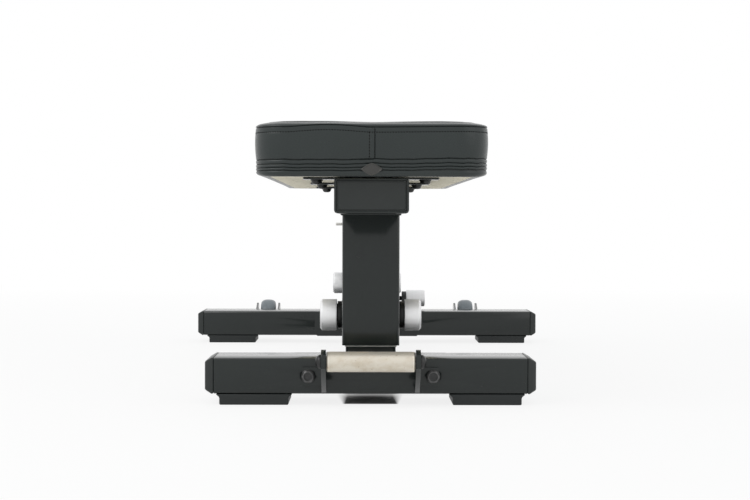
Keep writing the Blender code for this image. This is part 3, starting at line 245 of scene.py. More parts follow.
def upholstery_leather():
    """Dark grained leather: pebbled cells with creases, with painted shade down in the seams,
    where it is also rougher.
    """
    sheen = {"specular_ior_level": 0.42, "sheen_weight": 0.12, "sheen_roughness": 0.35}
    f = Finish("upholstery_leather", "leather", **sheen)
    sockets = {"Vector": f.own(), "Scale": 820}
    grain = f.ramp(f.node("TexVoronoi", {"feature": "DISTANCE_TO_EDGE"}, sockets), 0.0, 0.22)
    drift = f.noise(9, 4)
    creases = f.patches(0.40, 0.62, 130, 6, (1, 0.35, 1), 0.6)
    # how deep a point lies in a seam: it darkens the colour as painted shade, and adds roughness
    seam = f.attribute("crease")
    tone = f.tones(
        (0.014, 0.021, 0.020),
        (drift, (0.021, 0.029, 0.028)),
        ((1.0 - grain) * 0.35, (0.014, 0.018, 0.018)),
        (seam * 0.85, (0.004, 0.005, 0.005)),
    )
    rough = 0.22 + drift * 0.06 + seam * 0.35 + (1.0 - grain) * 0.08
    fine = f.bump(f.noise(2600), 0.000007, f.bump(creases, 0.00006))
    return f.coat(tone, rough, normal=f.bump(grain, 0.000028, fine))


def plywood():
    """Pale sanded plywood: grain along the bench, with a few darker streaks and pores."""
    f = Finish("sanded_plywood", "plywood", specular_ior_level=0.3)
    grain = f.noise(210, 4, (1, 0.03, 1), 0.6)
    pores = f.patches(0.62, 0.74, 1500, 2, (1, 0.05, 1))
    tone = f.tones(
        (0.92, 0.85, 0.67),
        (grain * 0.6 + f.noise(7, 3, (1, 0.15, 1)) * 0.4, (0.97, 0.92, 0.77)),
        (pores * 0.4, (0.38, 0.30, 0.20)),
        (f.patches(0.42, 0.58, 480, 0, (0, 0, 1)) * 0.12, (0.44, 0.35, 0.24)),
    )
    fibres = f.bump(grain, 0.00008, f.bump(pores, -0.00006))
    return f.coat(tone, 0.62 + grain * 0.18, normal=fibres)


def thread():
    """Twisted upholstery thread."""
    f = Finish("bonded_thread", "leather", specular_ior_level=0.12)
    twist = f.noise(2400, 1)
    tone = f.tones((0.002, 0.002, 0.002), (twist, (0.008, 0.009, 0.009)))
    return f.coat(tone, 0.55 + twist * 0.2, normal=f.bump(twist, 0.00008))


def cast_rubber():
    """Grey cast polyurethane of the wheels, with road dust."""
    f = Finish("wheel_polyurethane", "wheel_rubber", specular_ior_level=0.5)
    dust = f.patches(0.50, 0.70, 260, 5, roughness=0.7)
    cloud = (f.noise(45, 4), (0.23, 0.26, 0.28))
    tone = f.tones((0.17, 0.20, 0.22), cloud, (dust * 0.4, (0.34, 0.35, 0.35)))
    return f.coat(tone, 0.28 + dust * 0.25, normal=f.bump(f.noise(1800), 0.000012))


COAT = powder_coat("frame_powder_coat", 0.000008)
WELD_COAT = powder_coat("weld_powder_coat", 0.000006)
tones = (0.010, 0.014, 0.013), (0.016, 0.020, 0.019)
PLASTIC = moulded("cap_plastic", "black_plastic", *tones, 0.30, 1900, 0.000020)
tones = (0.006, 0.009, 0.009), (0.011, 0.014, 0.014)
PAD_RUBBER = moulded("foot_rubber", "foot_rubber", *tones, 0.50, 1400, 0.000040)
tones = (0.44, 0.45, 0.43), (0.56, 0.57, 0.54)
NYLON = moulded("liner_nylon", "nylon", *tones, 0.30, 1200, 0.000010)
tones = (0.034, 0.034, 0.031), (0.055, 0.053, 0.049)
BADGE_VINYL = moulded("badge_vinyl", "black_plastic", *tones, 0.36, 2200, 0.000025)
tones = (0.86, 0.86, 0.87), (0.95, 0.95, 0.95)
ALUMINIUM = turned_metal("turned_aluminium", "aluminium", *tones, 0.40, 0.000006, 0.5)
tones = (0.52, 0.51, 0.49), (0.66, 0.65, 0.62)
PIN_STEEL = turned_metal("ground_steel", "bright_steel", *tones, 0.18, 0.000003)
tones = (0.45, 0.45, 0.46), (0.60, 0.60, 0.60)
BEARING_STEEL = turned_metal("bearing_steel", "bright_steel", *tones, 0.18, 0.000003)
KNURLED = knurled_steel()
ZINC = dark_zinc("black_zinc", (0.022, 0.023, 0.023), (0.060, 0.060, 0.060), 0.26)
BARREL_ZINC = dark_zinc("barrel_black", (0.016, 0.017, 0.017), (0.032, 0.032, 0.032), 0.34)
LEATHER = upholstery_leather()
PLYWOOD = plywood()
THREAD = thread()
WHEEL_RUBBER = cast_rubber()


# ---- Making pieces

SOFT_STEPS = 2
SOFT_FROM = math.radians(30)
FLAT_WITHIN = math.radians(0.5)
RING_POINTS = 36


def placed(name, data):
    """A new object of the scene."""
    made = bpy.data.objects.new(name, data)
    bpy.context.scene.collection.objects.link(made)
    return made


def evaluated(made):
    """What an object's modifiers make of it, as a plain mesh."""
    graph = bpy.context.evaluated_depsgraph_get()
    return bpy.data.meshes.new_from_object(made.evaluated_get(graph))


def piece(name, mesh, material, body, stands_for=()):
    """Puts a finished mesh on a body of the bench."""
    mesh.name = name
    mesh.materials.clear()
    mesh.materials.append(material)
    made = placed(name, mesh)
    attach(made, body)
    if stands_for:
        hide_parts(*stands_for)
    return made


def shown(node, mesh, material, body):
    """Puts a finished mesh in the place of one CAD node."""
    return piece(node + "_shown", mesh, material, body, [node])


def shade(mesh, degrees=40):
    """Shades a mesh smooth, with the edges sharper than an angle kept."""
    mesh.shade_smooth()
    mesh.set_sharp_from_angle(angle=math.radians(degrees))
    return mesh


def mesh_of(bm, degrees=40):
    """Ends a bmesh as a shaded mesh."""
    mesh = bpy.data.meshes.new("shape")
    bm.to_mesh(mesh)
    bm.free()
    return shade(mesh, degrees)


def outward_mesh(bm, degrees=40):
    """Ends a closed bmesh, with its faces turned outwards."""
    bmesh.ops.recalc_face_normals(bm, faces=bm.faces)
    return mesh_of(bm, degrees)


def softened(node, edge):
    """A merged copy of a CAD node's mesh with its sharp edges rounded by a small radius."""
    bm = bmesh.new()
    bm.from_mesh(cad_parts[node].data)
    bmesh.ops.remove_doubles(bm, verts=bm.verts, dist=MERGE)
    bmesh.ops.dissolve_limit(bm, angle_limit=FLAT_WITHIN, verts=bm.verts, edges=bm.edges)
    sharp = [e for e in bm.edges if len(e.link_faces) == 2 and e.calc_face_angle(0) > SOFT_FROM]
    how = {"segments": SOFT_STEPS, "profile": 0.5, "affect": "EDGES", "clamp_overlap": True}
    bmesh.ops.bevel(bm, geom=sharp, offset=edge, **how)
    bmesh.ops.remove_doubles(bm, verts=bm.verts, dist=MERGE)
    return mesh_of(bm, 50)


def eased(points, radius, steps=3):
    """A profile with its inner corners rounded."""
    points = [Vector(point) for point in points]
    made = [points[0]]
    for before, corner, after in zip(points, points[1:], points[2:]):
        back, ahead = before - corner, after - corner
        reach = min(radius, back.length * 0.45, ahead.length * 0.45)
        start, end = corner + back.normalized() * reach, corner + ahead.normalized() * reach
        for step in range(steps + 1):
            t = step / steps
            made.append(start * (1 - t) ** 2 + corner * 2 * t * (1 - t) + end * t**2)
    return [tuple(point) for point in made + [points[-1]]]


def skin(bm, rings, closed=False):
    """Joins rings of points with faces, and gives the rows of their vertices."""
    rows = [[bm.verts.new(point) for point in ring] for ring in rings]
    for lower, upper in zip(rows, rows[1:] + (rows[:1] if closed else [])):
        for n in range(len(lower)):
            m = (n + 1) % len(lower)
            bm.faces.new((lower[n], lower[m], upper[m], upper[n]))
    return rows


def round_ring(radius, height, count=RING_POINTS):
    angles = [2 * math.pi * n / count for n in range(count)]
    return [(radius * math.cos(a), radius * math.sin(a), height) for a in angles]


def turned(profile, seat, along, segments=48, closed=False, degrees=40):
    """A mesh turned from (radius, distance) points about the axis that leaves seat along a way."""
    place = Matrix.Translation(seat) @ Vector(along).to_track_quat("Z", "X").to_matrix().to_4x4()
    rings = [round_ring(radius, distance, segments) for radius, distance in profile]
    bm = bmesh.new()
    skin(bm, [[place @ Vector(point) for point in ring] for ring in rings], closed)
    bmesh.ops.remove_doubles(bm, verts=bm.verts, dist=MERGE)
    return outward_mesh(bm, degrees)


def joined(*meshes):
    """Several meshes as one."""
    bm = bmesh.new()
    for mesh in meshes:
        bm.from_mesh(mesh)
    made = bpy.data.meshes.new("joined")
    bm.to_mesh(made)
    bm.free()
    return made


def ringed(rings, worn=()):
    """A closed mesh through rings of points, with some rings marked as edges that are painted
    lighter, partly for wear and partly as a painted highlight.
    """
    bm = bmesh.new()
    edge = bm.verts.layers.float.new("edge")
    rows = skin(bm, rings)
    for n in worn:
        for vert in rows[n]:
            vert[edge] = 1.0
    bm.faces.new(rows[0])
    bm.faces.new(rows[-1])
    return outward_mesh(bm, 28)


def outline(wide, high, radius, steps=5):
    """Points of a rounded rectangle."""
    points = []
    for right, up, start in CORNERS:
        for step in range(steps + 1):
            angle = math.radians(start + 90 * step / steps)
            x = right * (wide / 2 - radius) + radius * math.cos(angle)
            points.append((x, up * (high / 2 - radius) + radius * math.sin(angle)))
    return points


def span(node):
    """A CAD node's middle and size."""
    low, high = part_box(node)
    return (low + high) / 2, high - low


# ---- Geometry Nodes for what repeats


class Recipe(Wiring):
    """A Geometry Nodes tree in the making, with named inputs."""

    def __init__(self, name, **inputs):
        super().__init__(bpy.data.node_groups.new(name, "GeometryNodeTree"), "GeometryNode")
        self.inputs = {}
        self.socket("Geometry", "Geometry")
        for label, kind in {**inputs, "Finish": "Material"}.items():
            self.inputs[label] = self.socket(label.replace("_", " "), kind).identifier
        self.socket("Geometry", "Geometry", "OUTPUT")
        self.entry = self.tree.nodes.new("NodeGroupInput")

    def socket(self, label, kind, way="INPUT"):
        face = self.tree.interface
        return face.new_socket(label, in_out=way, socket_type="NodeSocket" + kind)

    def given(self, label):
        """What a named input holds."""
        return Wire(self, self.entry.outputs[label.replace("_", " ")])

    def aligned(self, axis, way, pivot="AUTO", turn=(0, 0, 0)):
        """A rotation that brings an axis to a way, after another turn."""
        settings = {"axis": axis, "pivot_axis": pivot}
        sockets = {"Rotation": turn, "Vector": way}
        return self.node("FunctionNodeAlignRotationToVector", settings, sockets)

    def facing(self):
        """The way that each point faces."""
        settings = {"data_type": "FLOAT_VECTOR"}
        return self.node("InputNamedAttribute", settings, {"Name": "facing"})

    def copies(self, points, shape, turn, scale):
        """Ends the tree with a copy of a shape on each point."""
        sockets = {"Points": points, "Instance": shape, "Rotation": turn, "Scale": scale}
        return self.close(self.node("InstanceOnPoints", sockets=sockets))

    def close(self, geometry):
        """Ends the tree: realizes what it holds and gives it its material."""
        sockets = {"Geometry": self.node("RealizeInstances", sockets={0: geometry})}
        coated = self.node("SetMaterial", sockets={**sockets, "Material": self.given("Finish")})
        self.plug(self.tree.nodes.new("NodeGroupOutput").inputs[0], coated)
        return self

    def make(self, mesh, material, **values):
        """The plain mesh that the tree makes from a host mesh."""
        host = placed("host", mesh)
        modifier = host.modifiers.new("recipe", "NODES")
        modifier.node_group = self.tree
        for label, value in {**values, "Finish": material}.items():
            modifier[self.inputs[label]] = value
        bpy.context.view_layer.update()
        made = evaluated(host)
        host.modifiers.remove(modifier)
        bpy.data.objects.remove(host)
        return made


def seated_recipe():
    """One copy of a fastener on each point, its head along the point's facing."""
    r = Recipe("seated_fasteners", Fastener="Object", Size="Float")
    shape = r.node("ObjectInfo", sockets={"Object": r.given("Fastener")}, output="Geometry")
    return r.copies(r.given("Geometry"), shape, r.aligned("Z", r.facing()), r.given("Size"))


def row_recipe(name, round_steps):
    """Rounded grains in a row, each lying along its path: stitches, or the ripples of a weld."""
    sizes = {"X": "Grain_Length", "Y": "Grain_Width", "Z": "Grain_Height"}
    r = Recipe(name, Pitch="Float", **{label: "Float" for label in sizes.values()})
    path = r.node("MeshToCurve", sockets={0: r.given("Geometry")})
    sockets = {"Curve": path, "Length": r.given("Pitch")}
    spaced = r.node("ResampleCurve", {"mode": "LENGTH"}, sockets)
    along = r.aligned("X", r.node("InputTangent"))
    sockets = {axis: r.given(label) for axis, label in sizes.items()}
    scale = r.node("ShaderNodeCombineXYZ", sockets=sockets)
    ball = r.node("MeshUVSphere", sockets={"Segments": round_steps, "Rings": 5, "Radius": 0.5})
    smooth = r.node("SetShadeSmooth", sockets={0: ball})
    return r.copies(spaced, smooth, r.aligned("Z", r.facing(), "X", along), scale)


def knurl_recipe():
    """A knurled bar about its own X: a rolled grid with every other crossing a raised point."""
    sizes = {"Radius": "Float", "Length": "Float", "Depth": "Float"}
    r = Recipe("knurled_bar", **sizes, Around="Int", Along="Int")
    around, along = r.given("Around"), r.given("Along")
    sockets = {"Size X": 1.0, "Size Y": 1.0, "Vertices X": along, "Vertices Y": around}
    grid = r.node("MeshGrid", sockets=sockets)
    sockets = {0: r.node("InputPosition")}
    x, y = [r.node("ShaderNodeSeparateXYZ", sockets=sockets, output=axis) for axis in "XY"]
    column = r.maths("ROUND", (x + 0.5) * (along - 1.0))
    row = r.maths("ROUND", (y + 0.5) * (around - 1.0))
    valley = r.maths("MODULO", column + row, 2.0)
    radius = r.given("Radius") - valley * r.given("Depth")
    angle = y * (2 * math.pi)
    sockets = {"Y": radius * r.maths("COSINE", angle), "Z": radius * r.maths("SINE", angle)}
    rolled = r.node("ShaderNodeCombineXYZ", sockets={"X": x * r.given("Length"), **sockets})
    sockets = {"Geometry": grid, "Name": "valley", "Value": valley}
    noted = r.node("StoreNamedAttribute", {"data_type": "FLOAT", "domain": "POINT"}, sockets)
    bar = r.node("SetPosition", sockets={"Geometry": noted, "Position": rolled})
    return r.close(r.node("MergeByDistance", sockets={"Geometry": bar, "Distance": MERGE * 10}))


SEATED = seated_recipe()
STITCHES = row_recipe("stitch_row", 6)
RIPPLES = row_recipe("weld_ripples", 8)
KNURL = knurl_recipe()


def points_mesh(places, facings):
    """Loose points that each know which way they face."""
    mesh = bpy.data.meshes.new("seats")
    mesh.from_pydata([tuple(place) for place in places], [], [])
    facing = mesh.attributes.new("facing", "FLOAT_VECTOR", "POINT")
    facing.data.foreach_set("vector", np.array(facings, float).ravel())
    return mesh


def paths_mesh(paths):
    """Paths of (points, facings, closed) as one mesh of edges."""
    places, facings, edges = [], [], []
    for points, facing, closed in paths:
        first = len(places)
        places += [tuple(point) for point in points]
        facings += [tuple(way) for way in facing]
        edges += [(first + n, first + n + 1) for n in range(len(points) - 1)]
        if closed:
            edges.append((len(places) - 1, first))
    mesh = points_mesh(places, facings)
    mesh.edges.add(len(edges))
    mesh.edges.foreach_set("vertices", np.array(edges).ravel())
    mesh.update()
    return mesh


def fasteners(name, shape, seats, body, stands_for=()):
    """Copies of one fastener at (place, facing) seats, as one piece of a body."""
    model = placed("model", shape)
    mesh = SEATED.make(points_mesh(*zip(*seats)), ZINC, Fastener=model, Size=1.0)
    bpy.data.objects.remove(model)
    return piece(name, mesh, ZINC, body, stands_for)


# ---- Tubes, plates, caps and pads: CAD shapes with soft edges

SOFTENED = [
    ("base", COAT, 0.0003, "front_foot rear_foot"),
    ("base", COAT, 0.0004, "lower_beam"),
    ("base", COAT, 0.0003, "front_upright rear_upright"),
    ("base", COAT, 0.0006, "grip_bracket_left grip_bracket_right"),
    ("base", COAT, 0.0005, "wheel_bracket_left wheel_bracket_right"),
    ("upper_frame", COAT, 0.0003, "spine front_sleeve rear_sleeve"),
    ("upper_frame", COAT, 0.0004, "cross_plate_front cross_plate_middle cross_plate_rear"),
    ("upper_frame", PLYWOOD, 0.0006, "pad_board"),
]
for post in POSTS:
    for side_name, _ in SIDES:
        SOFTENED.append(("base", PLASTIC, 0.0005, f"{post}_foot_cap_{side_name}"))
        SOFTENED.append(("base", PAD_RUBBER, 0.0005, f"{post}_foot_pad_{side_name}"))
for body, material, edge, nodes in SOFTENED:
    for node in nodes.split():
        shown(node, softened(node, edge), material, body)

LINER_LIP_LONG = 0.0017
LINER_EDGE = 0.0003
LINER_WIDTH_AND_CORNER = {
    "lip": (0.0724, 0.0036),
    "skirt": (0.0732, 0.0030),
    "bore": (0.0706, 0.0040),
}


def liner_mesh(node):
    """A square nylon guide, with a lip that hangs inside the outline of its sleeve."""
    centre, low, high = span(node)[0], *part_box(node)
    edge, lip_top = LINER_EDGE, low.z + LINER_LIP_LONG
    steps = {
        "lip": ((edge, low.z), (0, low.z + edge), (0, lip_top)),
        "skirt": ((0, lip_top + edge), (0, high.z - edge), (edge, high.z)),
        "bore": ((-edge, high.z), (0, high.z - edge), (0, low.z + edge), (-edge, low.z)),
    }
    rings = []
    for part, levels in steps.items():
        wide, corner = LINER_WIDTH_AND_CORNER[part]
        for inset, z in levels:
            ring = outline(wide - 2 * inset, wide - 2 * inset, corner)
            rings.append([(centre.x + u, centre.y + v, z) for u, v in ring])
    bm = bmesh.new()
    skin(bm, rings, True)
    return outward_mesh(bm)


for post in POSTS:
    shown(post + "_liner", liner_mesh(post + "_liner"), NYLON, "upper_frame")


SPINE_CAP_CORNER = 0.0012
SPINE_CAP_RIM = 0.0004
SPINE_CAP_STEPS = (
    (0.0, 0.0005), (SPINE_CAP_RIM, 0.0), (0.0012, 0.0), (0.0014, 0.0007),
    (0.0019, 0.0007), (0.0021, 0.0001), (0.0060, 0.0001),
)


def spine_cap_mesh(node, way):
    """A plug cap with a groove close inside its rim; way is +1 at the rear, -1 in front."""
    centre, size = span(node)
    back = ((SPINE_CAP_RIM, size.y), (0.0, size.y - SPINE_CAP_RIM))
    rings = []
    for inset, depth in (*back, *SPINE_CAP_STEPS):
        ring = outline(size.x - 2 * inset, size.z - 2 * inset, SPINE_CAP_CORNER)
        y = centre.y + way * (size.y / 2 - depth)
        rings.append([(centre.x + u, y, centre.z + v) for u, v in ring])
    return ringed(rings)


for post, way in (("front", -1), ("rear", 1)):
    node = "spine_cap_" + post
    shown(node, spine_cap_mesh(node, way), PLASTIC, "upper_frame")


# ---- Turned pieces: knobs, pins, barrels, clamp screw, peg

FINE_EASE = (0.0004, 2)
KNOB_BEVEL = 0.0030
KNOB_DISH = 0.0006
KNOB_FOOT_BEVEL = 0.0006
KNOB_WALL = 0.0023
KNOB_HOLLOW = ((0.0127, 0.0068), (0.0127, 0.0194), (0, 0.0194))
BARREL_BORE = 0.0045
BARREL_NECK = 0.0120
BARREL_HOLE = 0.0085
BARREL_END_WALL = 0.0025
PEG_RADIUS = 0.003
PEG_BEVEL = 0.0008


def lying(node, side):
    """The foot, radius and length of a round CAD node that points along X to one side."""
    centre, size = span(node)
    return (centre.x - side * size.x / 2, centre.y, centre.z), size.z / 2, size.x


def knob_mesh(node, side):
    """A pull knob: bevelled outer end, small bevel at its foot, hollow towards its barrel."""
    foot, radius, length = lying(node, side)
    profile = [
        (0, length - KNOB_DISH), (radius * 0.52, length - KNOB_DISH),
        (radius * 0.56, length), (radius - KNOB_BEVEL, length), (radius, length - KNOB_BEVEL),
        (radius, KNOB_FOOT_BEVEL), (radius - KNOB_FOOT_BEVEL, 0), (radius - KNOB_WALL, 0),
        (radius - KNOB_WALL, KNOB_HOLLOW[0][1]), *KNOB_HOLLOW,
    ]
    return turned(eased(profile, *FINE_EASE), foot, (side, 0, 0), 64)


def barrel_mesh(node, side):
    """A plunger barrel: wide boss with a turned-down rim, and its neck."""
    foot, radius, length = lying(node, side)
    rim, wall = radius - 0.0035, length - BARREL_END_WALL
    profile = [
        (BARREL_BORE, length), (BARREL_NECK, length), (BARREL_NECK, 0.0070),
        (rim, 0.0070), (rim, 0.0062), (radius, 0.0062), (radius, 0),
        (BARREL_HOLE, 0), (BARREL_HOLE, wall), (BARREL_BORE, wall),
    ]
    profile = eased([*profile, profile[0]], *FINE_EASE)[:-1]
    return turned(profile, foot, (side, 0, 0), closed=True)


for post in POSTS:
    for side_name, side in SIDES:
        name = f"{post}_{side_name}_"
        plunger, knob, barrel, pin = [name + part for part in ("plunger", "knob", "barrel", "pin")]
        piece(name + "pull_knob", knob_mesh(knob, side), ALUMINIUM, plunger, [knob])
        piece(plunger + "_barrel", barrel_mesh(barrel, side), BARREL_ZINC, "upper_frame", [barrel])
        piece(plunger + "_pin", softened(pin, 0.0002), PIN_STEEL, plunger, [pin])

THREAD_PITCH = 0.0015
THREAD_DEPTH = 0.0007
THREAD_START = 0.001
STUD_RADIUS = 0.005
STUD_COLLAR = 0.036
STUD_COLLAR_LONG = 0.009
CLAMP_BORE = (0.0053, 0.016)


def clamp_stud_mesh():
    """The clamp screw: thread up to its collar, which has a rounded rim."""
    foot, collar_radius, length = lying("clamp_stud", 1)
    root, collar_end = STUD_RADIUS - THREAD_DEPTH, STUD_COLLAR + STUD_COLLAR_LONG
    profile = [(0, 0), (root, 0)]
    for turn in range(int((STUD_COLLAR - 2 * THREAD_START) / THREAD_PITCH)):
        start = THREAD_START + turn * THREAD_PITCH
        profile += [(root, start), (STUD_RADIUS, start + THREAD_PITCH / 2)]
    collar = [
        (root, STUD_COLLAR - 0.0002), (collar_radius, STUD_COLLAR), (collar_radius, collar_end),
        (STUD_RADIUS, collar_end), (STUD_RADIUS, length), (0, length),
    ]
    return turned(profile + eased(collar, 0.0010), foot, (1, 0, 0), 40, degrees=30)


def clamp_knob_mesh():
    """The clamp's round knob: bevelled at both ends, with a shallow dish in its face."""
    foot, radius, length = lying("clamp_knob", 1)
    bore, deep = CLAMP_BORE
    profile = [
        (bore, deep), (bore, 0), (radius - 0.0012, 0), (radius, 0.0012),
        (radius, length - 0.0016), (radius - 0.0016, length), (radius * 0.5, length),
        (radius * 0.46, length - KNOB_DISH), (0, length - KNOB_DISH),
    ]
    return turned([(0, deep), *eased(profile, *FINE_EASE)], foot, (1, 0, 0), 56)


def peg_mesh():
    """A plain steel peg with a bevelled end, which points to the left."""
    foot, _, length = lying("rear_sleeve_peg", -1)
    side = [(0, 0), (PEG_RADIUS, 0), (PEG_RADIUS, length - PEG_BEVEL)]
    end = [(PEG_RADIUS - PEG_BEVEL, length), (0, length)]
    return turned(eased(side + end, 0.0003, 2), foot, (-1, 0, 0), 32)


piece("clamp_screw_stud", clamp_stud_mesh(), ZINC, "clamp_screw", ["clamp_stud"])
piece("clamp_screw_knob", clamp_knob_mesh(), ALUMINIUM, "clamp_handle", ["clamp_knob"])
piece("rear_sleeve_rod", peg_mesh(), PIN_STEEL, "upper_frame", ["rear_sleeve_peg"])


# ---- Carry grip

GRIP_PLAIN_END = 0.0042
GRIP_BORE = 0.0063
GRIP_BORE_DEEP = 0.0178
KNURL_PITCH = 0.0017
KNURL_DEPTH = 0.00028


def grip_mesh():
    """A knurled bar with a plain rounded end and a bore at each side."""
    centre, size = span("grip")
    radius, long = size.z / 2, size.x - 2 * GRIP_PLAIN_END
    around = 2 * round(math.pi * radius / KNURL_PITCH * 2)
    counts = {"Around": around + 1, "Along": 2 * round(long / KNURL_PITCH) + 1}
    sizes = {"Radius": radius, "Length": long, "Depth": KNURL_DEPTH}
    knurl = KNURL.make(bpy.data.meshes.new("empty"), KNURLED, **sizes, **counts)
    knurl.transform(Matrix.Translation(centre))
    profile = [
        (radius - KNURL_DEPTH - 0.001, -0.002), (radius - KNURL_DEPTH, 0),
        (radius - 0.0002, 0.0004), (radius, GRIP_PLAIN_END - 0.0016),
        (radius - 0.0015, GRIP_PLAIN_END), (GRIP_BORE + 0.0003, GRIP_PLAIN_END),
        (GRIP_BORE, GRIP_PLAIN_END - 0.0004), (GRIP_BORE, -GRIP_BORE_DEEP), (0, -GRIP_BORE_DEEP),
    ]
    parts = [knurl]
    for _, side in SIDES:
        seat = centre + Vector((side * long / 2, 0, 0))
        parts.append(turned(profile, seat, (side, 0, 0), around, degrees=30))
    return joined(*parts)


piece("knurled_grip", grip_mesh(), KNURLED, "carry_grip", ["grip"])


# ---- Wheels

TREAD_ROUND = 0.0125
TREAD_DROP = 0.008
TREAD_STEPS = 8
TYRE_SEAT = 0.0163
HUB_RADIUS = 0.0160
HUB_BORE = 0.0043
HUB_RECESS = 0.0010
BEARING = (
    (0.0068, 0.0), (0.0074, 0.0), (0.0077, -0.0002), (0.0097, -0.0002),
    (0.0100, 0.0), (0.0110, 0.0), (0.0110, -0.0007), (0.0068, -0.0007),
)


def mirrored(profile):
    """A half profile and its mirror image, as one."""
    return [*profile, *[(radius, -distance) for radius, distance in reversed(profile)]]


def wheel_pieces(side_name):
    """A tyre with a rounded tread, its hub with a web, and a bearing in each face."""
    body = "wheel_" + side_name
    centre, size = span("tyre_" + side_name)
    half, radius = size.x / 2, size.z / 2
    tread = [(TYRE_SEAT, half - 0.0006), (TYRE_SEAT + 0.0006, half)]
    for step in range(TREAD_STEPS + 1):
        turn = math.pi / 2 * step / TREAD_STEPS
        drop, back = TREAD_DROP * (1 - math.sin(turn)), TREAD_ROUND * (1 - math.cos(turn))
        tread.append((radius - drop, half - back))
    mesh = turned(mirrored(tread), centre, (1, 0, 0), 72, closed=True)
    piece(body + "_tyre", mesh, WHEEL_RUBBER, body, ["tyre_" + side_name])
    web = half - 0.0012
    bore = [(HUB_BORE, HUB_RECESS - half), (HUB_BORE, half - HUB_RECESS)]
    face = [(0.0112, half - HUB_RECESS), (0.0112, half), (0.0126, half), (0.0134, web)]
    face += [(0.0150, web), (0.0154, half), (HUB_RADIUS, half)]
    mesh = turned(mirrored(face) + bore, centre, (1, 0, 0), closed=True, degrees=30)
    piece(body + "_hub", mesh, PLASTIC, body, ["hub_" + side_name])
    faces = []
    for _, way in SIDES:
        seat = centre + Vector((way * (half - 0.0001), 0, 0))
        faces.append(turned(BEARING, seat, (way, 0, 0), 40, closed=True, degrees=20))
    piece(body + "_bearings", joined(*faces), BEARING_STEEL, body)


for side_name, _ in SIDES:
    wheel_pieces(side_name)


# ---- Bolts, axles and screws

BOLT_HEX = 0.0150
BOLT_HEAD_TOP = 0.0078
BOLT_FLANGE = (
    (0.0050, -0.0220), (0.0050, 0.0), (0.0094, 0.0), (0.0097, 0.0004),
    (0.0096, 0.0009), (0.0081, 0.0018), (0.0088, 0.0022),
)
BUTTON_RADIUS = 0.0098
BUTTON_HIGH = 0.0070
BUTTON_STEPS = 12
BUTTON_SHANK = (0.006, 0.0278)
DOME_BOLT = (
    (0, -0.0100), (0.0040, -0.0100), (0.0040, 0.0), (0.0085, 0.0), (0.0088, 0.0003),
    (0.0088, 0.0012), (0.0085, 0.0015), (0.0076, 0.0015), (0.0076, 0.0026), (0.0070, 0.0044),
    (0.0056, 0.0058), (0.0040, 0.0065), (0.0027, 0.0067), (0.0025, 0.0065), (0.0024, 0.0040),
    (0, 0.0036),
)
PAN_SCREW = (
    (0, -0.0100), (0.0024, -0.0100), (0.0024, 0.0), (0.0050, 0.0), (0.0050, 0.0008),
    (0.0043, 0.0022), (0.0026, 0.0029), (0.0013, 0.0030), (0.0010, 0.0018), (0, 0.0016),
)
PAD_BOLT_X = 0.076
FOOT_SCREW_X = 0.030
FOOT_SCREW_Z = 0.007


def hex_rings(across, bottom, top):
    """The rings of a chamfered hexagonal head, from its foot to its dished top."""
    flat = 0.95 * across / 2
    rings = [[] for _ in range(5)]
    for n in range(RING_POINTS):
        angle = 2 * math.pi * n / RING_POINTS
        corner = across / 2 / math.cos((angle % (math.pi / 3)) - math.pi / 6)
        shoulder = top - (corner - flat) * math.tan(math.radians(30)) - 0.0001
        levels = [(corner, bottom), (corner, shoulder), (flat, top)]
        levels += [(flat * 0.78, top), (flat * 0.70, top - 0.0005)]
        for ring, (radius, height) in zip(rings, levels):
            ring.append((radius * math.cos(angle), radius * math.sin(angle), height))
    return rings


def flange_bolt_mesh():
    """A hex flange bolt with its shank, seated at height 0."""
    rings = [round_ring(radius, height) for radius, height in BOLT_FLANGE]
    head = hex_rings(BOLT_HEX, BOLT_FLANGE[-1][1] + 0.0001, BOLT_HEAD_TOP)
    # the head's top edge rings are marked: the black zinc paints them lighter, partly wear and
    # partly a painted highlight
    return ringed([*rings, *head], (len(rings) + 1, len(rings) + 2))


def button_bolt_mesh():
    """A wide button head with a driving socket on a long shank, seated at height 0."""
    shank, long = BUTTON_SHANK
    profile = [(0, -long), (shank, -long), (shank, 0)]
    profile += [(BUTTON_RADIUS - 0.0003, 0), (BUTTON_RADIUS, 0.0003)]
    for step in range(9):
        turn = math.pi / 2 * step / BUTTON_STEPS
        rise = (BUTTON_HIGH - 0.0010) * math.sin(turn) / math.sin(math.pi / 3)
        profile.append((BUTTON_RADIUS * math.cos(turn), 0.0010 + rise))
    profile += [(0.0043, BUTTON_HIGH - 0.0004), (0.0042, 0.0028), (0, 0.0024)]
    return turned(profile, (0, 0, 0), UP, 40, degrees=30)


def bolt_seats(ways, head):
    """Where the heads of bolt nodes sit, and which way they face."""
    seats = []
    for node, way in ways.items():
        low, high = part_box(node)
        place = (low + high) / 2
        axis = 0 if way[0] else 1
        place[axis] = (high if way[axis] > 0 else low)[axis] - way[axis] * head
        seats.append((place, way))
    return seats


flange_ways, grip_ways, axles = {}, {}, []
for side_name, side in SIDES:
    flange_ways["joint_bolt_front_" + side_name] = (0, 1, 0)
    flange_ways["joint_bolt_rear_" + side_name] = (0, -1, 0)
    flange_ways["grip_bracket_bolt_" + side_name] = (0, -1, 0)
    grip_ways["grip_bolt_" + side_name] = (side, 0, 0)
    axles.append("wheel_axle_" + side_name)
seats = bolt_seats(flange_ways, BOLT_HEAD_TOP)
fasteners("flange_bolts", flange_bolt_mesh(), seats, "base", list(flange_ways))
seats = bolt_seats(grip_ways, BUTTON_HIGH)
fasteners("grip_bolts", button_bolt_mesh(), seats, "base", list(grip_ways))
for node in axles:
    shown(node, softened(node, 0.0004), ZINC, "base")

plate_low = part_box("cross_plate_front")[0].z
seats = [
    ((side * PAD_BOLT_X, span("cross_plate_" + part)[0].y, plate_low), DOWN)
    for part in PLATES
    for _, side in SIDES
]
dome_bolt = turned(DOME_BOLT, (0, 0, 0), UP, 28, degrees=30)
fasteners("pad_bolts", dome_bolt, seats, "upper_frame")

